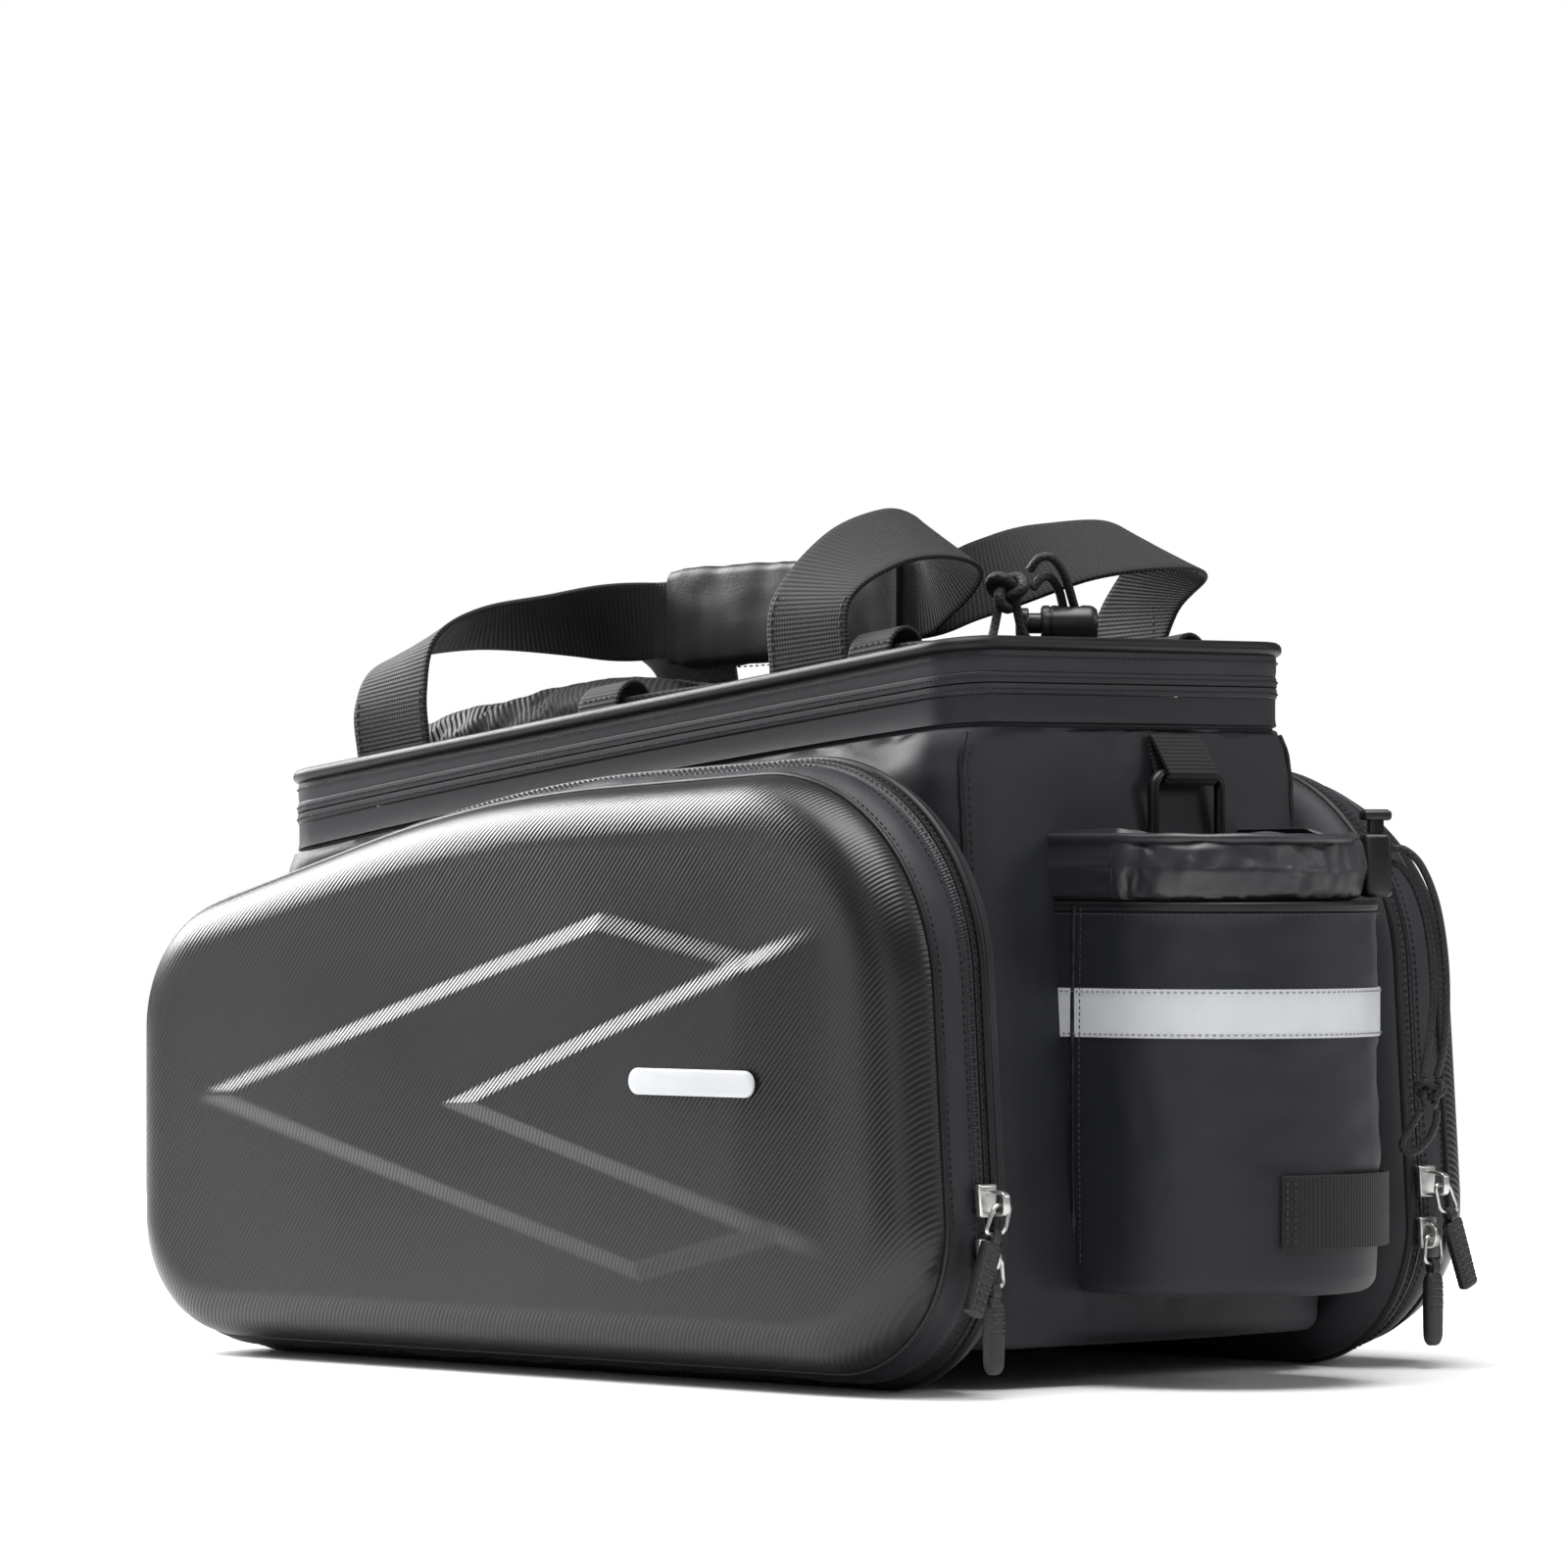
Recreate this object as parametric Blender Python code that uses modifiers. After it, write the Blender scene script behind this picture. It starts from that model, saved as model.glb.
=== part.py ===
"""Bicycle trunk bag: a zipped main compartment under a wedge-shaped lid, two hard-faced side panniers that hang
beside the rack, and a bottle pocket at the back.

Metres, +Z up. +X points to the bicycle's rear and -Y to its near side. The origin is the middle of the base that
sits on the rack.
"""

import math

import bmesh
import bpy
from mathutils import Matrix, Vector
from mathutils.geometry import delaunay_2d_cdt, intersect_line_line

# Clearances and walls
GAP = 0.0003
PADDED_WALL = 0.003
CLOTH_WALL = 0.002
SHELL_WALL = 0.003

# Main compartment
LID_LENGTH = 0.346
LID_WIDTH = 0.168
PLAN_CORNER = 0.016
SEAM_FRONT = 0.166
SEAM_REAR = 0.211
SEAM_ARCH = 0.003
LID_FRONT = 0.194
LID_REAR = 0.239
LID_CROWN = 0.005
LID_EDGE = 0.0035
ZIP_WIDTH = 0.008
FLARE = 0.006
FLARE_DROP = 0.019
REAR_SLANT = 0.014
REAR_BOW = 0.006
BASE_EDGE = 0.006
LID_PIPING_RADIUS = 0.002

# Side panniers, seen from the side
PANNIER_REAR = 0.2105
PANNIER_FRONT = -0.188
PANNIER_BOTTOM = -0.007
PANNIER_REAR_HEIGHT = 0.2045
PANNIER_BEND_HEIGHT = 0.1925
PANNIER_BEND_X = -0.018
PANNIER_FRONT_HEIGHT = 0.1474
PANNIER_REAR_LEAN = 0.0145
CORNER_REAR_BOTTOM = 0.050
CORNER_REAR_TOP = 0.076
CORNER_BEND = 0.625
CORNER_FRONT_TOP = 0.048
CORNER_FRONT_BOTTOM = 0.042

# Side panniers, outwards from the body's side
BACK_GUSSET = 0.015
FRONT_GUSSET = 0.022
SHELL_DEPTH = 0.019
SHELL_ROUNDING = 0.018
ROUNDING_STEPS = 4
SHELL_CROWN = 0.0025
CROWN_AT = (0.5, 0.45)
PIPING_RADIUS = 0.0018
PIPING_PROUD = 0.0012
PIPING_GROW = 0.0055
PIPING_GROW_ENDS = 0.0015
BACK_INSET = 0.012
PANNIER_ZIP_WIDTH = 0.006

# Raised arrow panels on the shells
PANEL_RISE = 0.0022
PANEL_BEVEL = 0.006
ARROW_TIP = (0.095, 0.425)
ARROW_UP = (0.627, 0.753)
ARROW_LOW = (0.675, 0.142)
INNER_TIP = (0.434, 0.425)
INNER_UP = (0.886, 0.741)
INNER_LOW = (0.886, 0.194)
CLOSE_UP = 0.833
CLOSE_LOW = 0.90
INNER_RUN = 0.78

# Zip sliders and their pulls
SLIDER_WIDTH = 0.009
SLIDER_LENGTH = 0.011
SLIDER_THICK = 0.003
SLIDER_EDGE = 0.0008
BRIDGE_WIDTH = 0.0032
BRIDGE_LENGTH = 0.0068
BRIDGE_REACH = 0.0035
BRIDGE_DROP = 0.0011
BRIDGE_EDGE = 0.0005
PULL_RING_WIDTH = 0.0095
PULL_RING_LENGTH = 0.0095
PULL_RING_WIRE = 0.0007
PULL_RING_TAPER = 0.8
PULL_RING_CORNER = 0.0022
GRIP_WIDTH = 0.0085
GRIP_LENGTH = 0.026
GRIP_THICK = 0.004
GRIP_EDGE = 0.0012
LUG_WIDTH = 0.0034
LUG_THICK = 0.0036
LUG_LENGTH = 0.0022
SLIDER_UPPER_Z = 0.052
SLIDER_LOWER_Z = 0.034
UPPER_TILT = 22.0
UPPER_STAND_OFF = 0.0045

# Handles
HANDLE_WIDTH = 0.038
HANDLE_THICK = 0.0018
HANDLE_RISE = 0.045
GRIP_GAP = 0.0011
WRAP_WALL = 0.003
WRAP_CORNER = 0.0040
WRAP_START = -0.050
WRAP_END = 0.066
WRAP_STEPS = 6

# Top of the lid
NET_FRONT_SHARE = -0.867
NET_REAR_SHARE = -0.220
NET_HALF_WIDTH = 0.056
NET_RISE = 0.008
NET_WALL = 0.0012
NET_CORNER = 0.012
TAB_WIDTH = 0.020
TAB_SPAN = 0.016
TAB_RISE = 0.009
TAB_THICK = 0.0014
TAB_STEPS = 6
TAB_FRONT_SHARE = -0.052
TAB_REAR_SHARE = 0.7225
BUNGEE_RADIUS = 0.0016
BUNGEE_KNOT = (-0.013, 0.002, 0.259)
BARREL_AT = (-0.0035, 0.0235, 0.2475)
BARREL_RADIUS = 0.0063
BARREL_LENGTH = 0.020
BARREL_BORE = 0.0042
BARREL_TURN = 45.0
BARREL_EDGE = 0.001
BARREL_END_WALL = 0.0025
PORT_LENGTH = 0.0086
PORT_WIDTH = 0.0048
PLUNGER_STEM = 0.0036
PLUNGER_REACH = 0.0045
PLUNGER_CAP = 0.0045
PLUNGER_CAP_RADIUS = 0.0054
PLUNGER_TRAVEL = 0.004

# The knots, and the distance between a cord's points, as multiples of the cord's radius
KNOT_DEPTH = 1.15
KNOT_SIZE = 1.3
ROUTE_SPACING = 7
TAIL_SPACING = 4
LOOP_SPACING = 2

# Bottle pocket at the rear
POCKET_RADIUS = 0.053
POCKET_OUT = 0.0355
POCKET_Y = 0.006
POCKET_BOTTOM = 0.018
POCKET_TOP = 0.150
POCKET_EDGE = 0.006
POCKET_CLEAR = 0.0006
POCKET_STEPS = 10
COLLAR_RADIUS = 0.049
COLLAR_BACK = 0.0025
COLLAR_Y = 0.003
COLLAR_TOP = 0.174
COLLAR_WALL = 0.0015
COLLAR_PUFF = 0.003
STRIP_LOW = 0.105
STRIP_HEIGHT = 0.0165
STRIP_THICK = 0.0008
LIGHT_LOOP_LOW = 0.034
LIGHT_LOOP_HEIGHT = 0.025
LIGHT_LOOP_THICK = 0.0015
LIGHT_LOOP_SLACK = 0.0018
LIGHT_LOOP_FIRST = -26.0
LIGHT_LOOP_LAST = 62.0

# Cord lock on the pocket's collar
LOCK_ANGLE = 50.0
LOCK_WIDTH = 0.0135
LOCK_DEPTH = 0.010
LOCK_LOW = 0.152
LOCK_HEIGHT = 0.022
LOCK_BORE_WIDTH = 0.0075
LOCK_BORE_DEPTH = 0.0055
LOCK_BORE_DEEP = 0.0132
LOCK_EDGE = 0.0016
LOCK_CAP_HEIGHT = 0.0035
LOCK_CAP_WIDTH = 0.0122
LOCK_CAP_EDGE = 0.001
DRAWCORD_RADIUS = 0.0013
DRAWCORD_KNOT = (0.0483, 0.0592, 0.0855)

# Ring on the rear wall
RING_Y = 0.019
RING_STAND_OFF = 0.008
RING_AXIS_Z = 0.194
RING_WIDTH = 0.034
RING_LENGTH = 0.028
RING_CORNER = 0.005
RING_WIRE = 0.002
RING_STRAP_WIDTH = 0.025
RING_STRAP_THICK = 0.0014
RING_STRAP_TOP = 0.207
RING_STRAP_NECK = 0.006
RING_STRAP_FOLD = 0.0018
RING_STRAP_FIRST = 20.0
RING_STRAP_LAST = -180.0
RING_STRAP_STEPS = 8

# Each handle from its front foot to its rear foot: a share of half the lid's length, a share of half its width
# outwards from the grip, a share of the handle's rise, the way of the webbing's width and the share of its width.
HANDLE_ROWS = (
    (-0.682, 0.906, 0.025, (1.00, 0.00, 0.13), 1.00),
    (-0.685, 0.921, 0.47, (1.00, 0.00, 0.15), 1.00),
    (-0.675, 0.836, 0.85, (0.95, -0.15, 0.25), 1.00),
    (-0.600, 0.596, 1.00, (0.75, -0.55, 0.35), 1.00),
    (-0.480, 0.306, 0.98, (0.45, -0.60, 0.60), 0.90),
    (-0.370, 0.046, 0.95, (0.10, -0.20, 1.00), 0.76),
    (-0.300, 0.000, 0.93, (0.00, 0.00, 1.00), 0.72),
    (0.000, 0.000, 0.82, (0.00, 0.00, 1.00), 0.72),
    (0.395, 0.000, 0.68, (0.00, 0.00, 1.00), 0.72),
    (0.500, 0.070, 0.80, (-0.35, -0.18, 0.90), 0.78),
    (0.595, 0.196, 0.98, (-0.75, -0.15, 0.55), 0.92),
    (0.630, 0.456, 1.04, (-0.88, 0.00, 0.45), 1.00),
    (0.605, 0.726, 0.92, (-0.95, 0.00, 0.28), 1.00),
    (0.545, 0.896, 0.56, (-1.00, 0.00, 0.00), 1.00),
    (0.543, 0.906, 0.025, (-1.00, 0.00, -0.13), 1.00),
)

# Heights of the tub's rows as shares of the way up from its base edge to the start of the flare.
TUB_ROWS = (0.25, 0.5, 0.75, 1.0)

# Rows of the lid's crown, each at a share of half the lid's width inwards from its edge.
LID_ROWS = (0.14, 0.30, 0.52, 0.76)

# The net pocket's dome: how far in each row is, as a share of its half width, and its share of the rise.
NET_ROWS = ((0.0, 0.0), (0.0, 0.30), (0.07, 0.62), (0.24, 0.9), (0.55, 1.0))

# The gathered collar's rows: share of its height, and of how far it puffs out.
COLLAR_ROWS = ((0.0, -0.7), (0.12, 0.5), (0.5, 1.0), (0.85, 0.2), (1.0, -0.5))

# The bungee's route over the lid: x as a share of half the lid's length, y, and the height above the surface.
BUNGEE_ROUTE = (
    (0.6329, -0.0010, 0.0170),
    (0.6387, -0.0040, 0.0090),
    (0.6647, -0.0120, 0.0032),
    (0.7283, -0.0300, 0.0024),
    (0.7919, -0.0500, 0.0024),
    (0.8208, -0.0650, 0.0026),
    (0.7919, -0.0735, 0.0028),
    (0.7225, -0.0745, 0.0028),
    (0.6474, -0.0720, 0.0028),
    (0.5318, -0.0560, 0.0024),
    (0.3353, 0.0000, 0.0022),
    (0.1387, 0.0530, 0.0024),
    (0.0462, 0.0700, 0.0028),
    (-0.0520, 0.0745, 0.0028),
    (-0.1387, 0.0700, 0.0026),
    (-0.1792, 0.0520, 0.0024),
    (-0.1850, 0.0180, 0.0024),
    (-0.1850, -0.0180, 0.0024),
    (-0.1792, -0.0520, 0.0024),
    (-0.1387, -0.0700, 0.0026),
    (-0.0520, -0.0745, 0.0028),
    (0.0462, -0.0700, 0.0028),
    (0.1387, -0.0530, 0.0026),
    (0.2428, -0.0250, 0.0034),
    (0.3353, 0.0000, 0.0060),
    (0.4277, 0.0270, 0.0034),
    (0.5318, 0.0560, 0.0026),
    (0.6474, 0.0720, 0.0028),
    (0.7225, 0.0745, 0.0028),
    (0.7919, 0.0735, 0.0028),
    (0.8208, 0.0650, 0.0026),
    (0.7919, 0.0500, 0.0024),
    (0.7399, 0.0320, 0.0024),
    (0.6879, 0.0150, 0.0032),
    (0.6647, 0.0075, 0.0090),
    (0.6618, 0.0055, 0.0170),
)

# The two ends of the bungee between its knot and the barrel lock. Like theirs, x counts from the rear tabs.
BUNGEE_TAILS = {
    "a": (
        (-0.0075, 0.0075, 0.2660),
        (-0.0042, 0.0090, 0.2700),
        (-0.0014, 0.0125, 0.2700),
        (-0.0010, 0.0185, 0.2640),
        (-0.0022, 0.0248, 0.2530),
    ),
    "b": (
        (-0.0065, 0.0080, 0.2595),
        (-0.0050, 0.0105, 0.2630),
        (-0.0044, 0.0145, 0.2635),
        (-0.0048, 0.0195, 0.2590),
        (-0.0050, 0.0220, 0.2530),
    ),
}

# The pocket's drawcord from the cord lock down to its knot, and the end loop below the knot. As for the knot,
# x counts from the pocket's middle.
DRAWCORD_TAILS = {
    "a": (
        (0.0393, 0.0498, 0.1690),
        (0.0427, 0.0532, 0.1680),
        (0.0465, 0.0570, 0.1625),
        (0.0500, 0.0605, 0.1500),
        (0.0520, 0.0625, 0.1330),
        (0.0525, 0.0630, 0.1160),
        (0.0513, 0.0630, 0.1010),
        (0.0488, 0.0622, 0.0908),
    ),
    "b": (
        (0.0380, 0.0515, 0.1640),
        (0.0405, 0.0540, 0.1620),
        (0.0438, 0.0570, 0.1550),
        (0.0463, 0.0595, 0.1440),
        (0.0477, 0.0608, 0.1300),
        (0.0481, 0.0610, 0.1150),
        (0.0479, 0.0585, 0.1010),
        (0.0478, 0.0562, 0.0908),
    ),
}
DRAWCORD_END = (
    (0.0460, 0.0565, 0.0790),
    (0.0435, 0.0545, 0.0730),
    (0.0415, 0.0530, 0.0690),
    (0.0415, 0.0535, 0.0655),
    (0.0445, 0.0560, 0.0650),
    (0.0475, 0.0590, 0.0690),
    (0.0495, 0.0605, 0.0740),
    (0.0500, 0.0610, 0.0790),
)

# A rounded bottom edge has one row between its two ends, at this share of the edge both ways.
EDGE_ROW = 0.3

# Places worked out from the sizes above
HALF_LENGTH = LID_LENGTH / 2
HALF_WIDTH = LID_WIDTH / 2
NET_FRONT = HALF_LENGTH * NET_FRONT_SHARE
NET_REAR = HALF_LENGTH * NET_REAR_SHARE
TAB_FRONT_X = HALF_LENGTH * TAB_FRONT_SHARE
TAB_REAR_X = HALF_LENGTH * TAB_REAR_SHARE
RING_AXIS_X = HALF_LENGTH + RING_STAND_OFF
POCKET_X = HALF_LENGTH + POCKET_OUT
COLLAR_X = POCKET_X - COLLAR_BACK
BODY_HALF = HALF_WIDTH + FLARE
PIPING_Y = BODY_HALF + BACK_GUSSET
SHELL_SEAM_Y = PIPING_Y + FRONT_GUSSET
PANNIER_ZIP_Y = PIPING_Y + PIPING_RADIUS + GAP + PANNIER_ZIP_WIDTH / 2
TAB_Y = HALF_WIDTH - LID_PIPING_RADIUS - GAP * 3 - (TAB_SPAN + TAB_THICK) / 2
SLIDER_Y = PIPING_Y + PIPING_RADIUS + GAP + SLIDER_WIDTH / 2
ACROSS = Matrix.Rotation(math.radians(90), 4, "X")

# Colour, roughness and metallic value of each kind of surface
COATED_CLOTH = ((0.018, 0.019, 0.022), 0.55, 0.0)
ZIP_TAPE = ((0.010, 0.010, 0.012), 0.45, 0.0)
PIPING_CLOTH = ((0.008, 0.008, 0.009), 0.50, 0.0)
CARBON_SHELL = ((0.022, 0.022, 0.024), 0.32, 0.0)
WEBBING = ((0.010, 0.010, 0.011), 0.75, 0.0)
NET = ((0.012, 0.012, 0.013), 0.80, 0.0)
ELASTIC = ((0.012, 0.012, 0.013), 0.60, 0.0)
LOCK_PLASTIC = ((0.015, 0.015, 0.016), 0.38, 0.0)
SATIN = ((0.020, 0.020, 0.023), 0.40, 0.0)
REFLECTIVE = ((0.62, 0.63, 0.65), 0.35, 0.0)
STEEL = ((0.60, 0.59, 0.57), 0.25, 1.0)
BLACK_WIRE = ((0.020, 0.020, 0.022), 0.30, 0.8)
RUBBER = ((0.012, 0.012, 0.013), 0.50, 0.0)


def new_collection(name, hidden=False):
    made = bpy.data.collections.new(name)
    made.hide_render = hidden
    bpy.context.scene.collection.children.link(made)
    return made


def make_material(name, look):
    colour, roughness, metallic = look
    made = bpy.data.materials.new(name)
    made.use_nodes = True
    shader = made.node_tree.nodes["Principled BSDF"]
    shader.inputs["Base Color"].default_value = (*colour, 1.0)
    shader.inputs["Roughness"].default_value = roughness
    shader.inputs["Metallic"].default_value = metallic
    return made


def place(name, data, look, smooth_angle=35.0):
    """Links new data as a part with a material of its own."""
    made = bpy.data.objects.new(name, data)
    PARTS.objects.link(made)
    data.materials.append(make_material(name, look))
    if isinstance(data, bpy.types.Mesh):
        data.shade_smooth()
        data.set_sharp_from_angle(angle=math.radians(smooth_angle))
    return made


def place_shape(name, shape, look):
    data = bpy.data.meshes.new(name)
    shape.to_mesh(data)
    shape.free()
    return place(name, data, look)


def add_wall(part, thickness):
    """Gives an open surface its wall, inwards from its faces."""
    wall = part.modifiers.new("Wall", "SOLIDIFY")
    wall.thickness = thickness
    wall.offset = -1
    wall.use_even_offset = True
    wall.use_quality_normals = True
    return part


def mirror_across(part, name, look):
    """A copy of a part on the other side of the bag's middle plane."""
    shape = bmesh.new()
    shape.from_mesh(part.data)
    shape.transform(Matrix.Scale(-1, 4, (0, 1, 0)))
    bmesh.ops.reverse_faces(shape, faces=shape.faces)
    made = place_shape(name, shape, look)
    for wall in part.modifiers:
        add_wall(made, wall.thickness)
    return made


def loft(rings, cap_first=False, cap_last=False, round_path=False, round_rings=True):
    """Skins rings that hold as many points each. Seen from the last ring's end they run anticlockwise."""
    shape = bmesh.new()
    rows = [[shape.verts.new(point) for point in ring] for ring in rings]
    pairs = list(zip(rows, rows[1:]))
    if round_path:
        pairs.append((rows[-1], rows[0]))
    count = len(rows[0])
    for low, high in pairs:
        for here in range(count if round_rings else count - 1):
            after = (here + 1) % count
            shape.faces.new((low[here], low[after], high[after], high[here]))
    if cap_first:
        shape.faces.new(reversed(rows[0]))
    if cap_last:
        shape.faces.new(rows[-1])
    return shape


def shifted_corner(before, here, after, inset):
    """Where a corner of an anticlockwise outline goes when both its edges move inwards."""
    into = (here - before).normalized()
    out = (after - here).normalized()
    normals = Vector((-into.y, into.x)) + Vector((-out.y, out.x))
    return here + normals * inset / (1 + into.dot(out))


def rounded_outline(corners, inset=0.0):
    """Points of an anticlockwise outline. A corner is (u, v, radius, arc steps, steps of the edge after it)."""
    places = [Vector(corner[:2]) for corner in corners]
    count = len(corners)
    arcs = []
    for index, (_, _, radius, steps, _) in enumerate(corners):
        before = places[index - 1]
        here = places[index]
        after = places[(index + 1) % count]
        into = (here - before).normalized()
        turn = into.angle_signed((after - here).normalized()) * -1
        corner = shifted_corner(before, here, after, inset)
        bend = max(radius - inset, 0.002)
        inward = Vector((-into.y, into.x))
        centre = corner - into * bend * math.tan(turn / 2) + inward * bend
        turns = [Matrix.Rotation(turn * step / steps, 2) for step in range(steps + 1)]
        arcs.append([centre - turned_way @ inward * bend for turned_way in turns])
    points = []
    for index, arc in enumerate(arcs):
        points += arc
        sides = corners[index][4]
        first = arc[-1]
        last = arcs[(index + 1) % count][0]
        points += [first.lerp(last, step / sides) for step in range(1, sides)]
    return points


def smooth_rows(rows, steps):
    """Reads more rows of numbers from a smooth curve through the given ones."""
    vectors = [Vector(row) for row in rows]
    ends = [vectors[0] * 2 - vectors[1], *vectors, vectors[-1] * 2 - vectors[-2]]
    found = []
    for before, here, after, beyond in zip(ends, ends[1:], ends[2:], ends[3:]):
        for step in range(steps):
            share = step / steps
            found.append(
                (
                    here * 2
                    + (after - before) * share
                    + (before * 2 - here * 5 + after * 4 - beyond) * share**2
                    + (here * 3 - before - after * 3 + beyond) * share**3
                )
                / 2
            )
    return [*found, vectors[-1]]


def even_route(points, spacing):
    """Points about as far apart as spacing, along a smooth curve through the given ones."""
    fine = smooth_rows(points, 12)
    lengths = [0.0]
    for before, after in zip(fine, fine[1:]):
        lengths.append(lengths[-1] + (after - before).length)
    count = max(3, round(lengths[-1] / spacing))
    found = []
    index = 0
    for step in range(count + 1):
        wanted = lengths[-1] * step / count
        while index < len(fine) - 2 and lengths[index + 1] < wanted:
            index += 1
        span = lengths[index + 1] - lengths[index]
        found.append(fine[index].lerp(fine[index + 1], min(1.0, (wanted - lengths[index]) / span)))
    return found


def tube(name, points, radius, look, sides_level=2, closed=False, at=(0.0, 0.0, 0.0)):
    """A round wire or cord along the points, which are counted from at."""
    data = bpy.data.curves.new(name, "CURVE")
    data.dimensions = "3D"
    data.bevel_depth = radius
    data.bevel_resolution = sides_level
    data.use_fill_caps = True
    spline = data.splines.new("POLY")
    spline.points.add(len(points) - 1)
    spline.use_cyclic_u = closed
    for point, place_at in zip(spline.points, points):
        point.co = (*place_at, 1.0)
    made = place(name, data, look)
    made.location = at
    return made


def ribbon(name, centres, widths, thickness, look, round_path=False):
    """A flat strap through its centres. Each entry of widths is the whole width, as a vector, kept as it is."""
    rings = []
    last = len(centres) - 1
    for index, (centre, width) in enumerate(zip(centres, widths)):
        if round_path:
            ahead = centres[(index + 1) % len(centres)] - centres[index - 1]
        else:
            ahead = centres[min(index + 1, last)] - centres[max(index - 1, 0)]
        side = width / 2
        up = ahead.cross(side).normalized() * thickness / 2
        rings.append([centre - side - up, centre + side - up, centre + side + up, centre - side + up])
    caps = not round_path
    return place_shape(name, loft(rings, cap_first=caps, cap_last=caps, round_path=round_path), look)


def box(name, centre, size, bevel=0.0, look=None, turn=None, segments=1):
    """A box with its edges broken, placed by its matrix. Without a look it is a cutter."""
    shape = bmesh.new()
    bmesh.ops.create_cube(shape, size=1.0, matrix=Matrix.Diagonal((*size, 1.0)))
    if bevel:
        bmesh.ops.bevel(shape, geom=shape.edges[:], offset=bevel, segments=segments, affect="EDGES", profile=0.5)
    made = place_shape(name, shape, look) if look else place_cutter(name, shape)
    made.matrix_world = Matrix.Translation(centre) @ (turn or Matrix.Identity(4))
    return made


def place_cutter(name, shape):
    data = bpy.data.meshes.new(name)
    shape.to_mesh(data)
    shape.free()
    made = bpy.data.objects.new(name, data)
    made.hide_render = True
    made.display_type = "WIRE"
    CUTTERS.objects.link(made)
    return made


def rod_cutter(name, centre, radius, length, turn, sides=8):
    shape = bmesh.new()
    bmesh.ops.create_cone(
        shape, cap_ends=True, segments=sides, radius1=radius, radius2=radius, depth=length
    )
    made = place_cutter(name, shape)
    made.matrix_world = Matrix.Translation(centre) @ turn
    return made


def combine(part, other, operation):
    boolean = part.modifiers.new(other.name, "BOOLEAN")
    boolean.operation = operation
    boolean.object = other
    boolean.solver = "EXACT"


def along_lid(x, at_front, at_rear):
    """A height that runs straight from the lid's front to its rear."""
    return at_front + (at_rear - at_front) * (x / LID_LENGTH + 0.5)


def seam_height(x):
    """Height of the waist seam, where the body starts below the lid's band."""
    return along_lid(x, SEAM_FRONT, SEAM_REAR) + SEAM_ARCH * (1 - (x / HALF_LENGTH) ** 2)


def zip_height(x):
    """Middle of the main zip, halfway up the band."""
    return (seam_height(x) + lid_edge(x)) / 2


def lid_edge(x):
    """Height of the lid's top along its sides."""
    return along_lid(x, LID_FRONT, LID_REAR)


def lid_surface(x, y):
    """Top of the lid, which is crowned in both directions."""
    crown = LID_CROWN * max(0.0, 1 - (x / HALF_LENGTH) ** 2) * max(0.0, 1 - (y / HALF_WIDTH) ** 2)
    return lid_edge(x) + crown


def rear_wall(y, z):
    """The rear wall's place along X. It slants out towards the base and bows in plan."""
    share = 1 - z / SEAM_REAR
    return HALF_LENGTH + share * (REAR_SLANT + REAR_BOW * (1 - (y / BODY_HALF) ** 2))


def plan_ring(height, front, rear, half_width, bow=0.0, inset=0.0):
    """A ring of the main body, anticlockwise from above. height gives z at each x."""
    corners = (
        (rear, -half_width, PLAN_CORNER, 4, 4),
        (rear, half_width, PLAN_CORNER, 4, 4),
        (front, half_width, PLAN_CORNER, 4, 2),
        (front, -half_width, PLAN_CORNER, 4, 4),
    )
    ring = []
    for x, y in rounded_outline(corners, inset):
        if x > 0:
            x += bow * (1 - (y / half_width) ** 2)
        ring.append((x, y, height(x)))
    return ring


def body_ring(height, share, inset=0.0, flare=FLARE):
    """A ring of the tub below the waist seam. share is its height's share of the seam's at the rear."""
    rear = HALF_LENGTH + REAR_SLANT * (1 - share)
    return plan_ring(height, -HALF_LENGTH, rear, HALF_WIDTH + flare, REAR_BOW * (1 - share), inset)


def lid_ring(height, inset=0.0):
    return plan_ring(height, -HALF_LENGTH, HALF_LENGTH, HALF_WIDTH, inset=inset)


def tub_level(x, share):
    """A height at a share of the way up from the base's edge to the start of the flare."""
    return BASE_EDGE + (seam_height(x) - FLARE_DROP - BASE_EDGE) * share


def make_tub():
    """The open main compartment: base, flared walls, waist and the band's lower strip up to the zip."""
    drop_share = 1 - FLARE_DROP / SEAM_REAR
    edge_share = BASE_EDGE / SEAM_REAR
    rings = [
        body_ring(lambda x: 0.0, 0.0, BASE_EDGE),
        body_ring(lambda x: BASE_EDGE * EDGE_ROW, edge_share * EDGE_ROW, BASE_EDGE * EDGE_ROW),
        body_ring(lambda x: BASE_EDGE, edge_share),
    ]
    for share in TUB_ROWS:
        height_share = edge_share + (drop_share - edge_share) * share
        rings.append(body_ring(lambda x, share=share: tub_level(x, share), height_share))
    waist_drop = FLARE_DROP * EDGE_ROW
    waist_share = 1 - waist_drop / SEAM_REAR
    rings += [
        body_ring(lambda x: seam_height(x) - waist_drop, waist_share, flare=FLARE * EDGE_ROW),
        lid_ring(seam_height),
        lid_ring(lambda x: zip_height(x) - ZIP_WIDTH / 2),
    ]
    add_wall(place_shape("main_tub", loft(rings, cap_first=True), COATED_CLOTH), PADDED_WALL)


def make_main_zip():
    rings = [
        lid_ring(lambda x: zip_height(x) - ZIP_WIDTH / 2 + GAP),
        lid_ring(lambda x: zip_height(x) + ZIP_WIDTH / 2 - GAP),
    ]
    add_wall(place_shape("main_zip", loft(rings), ZIP_TAPE), PADDED_WALL)


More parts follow.
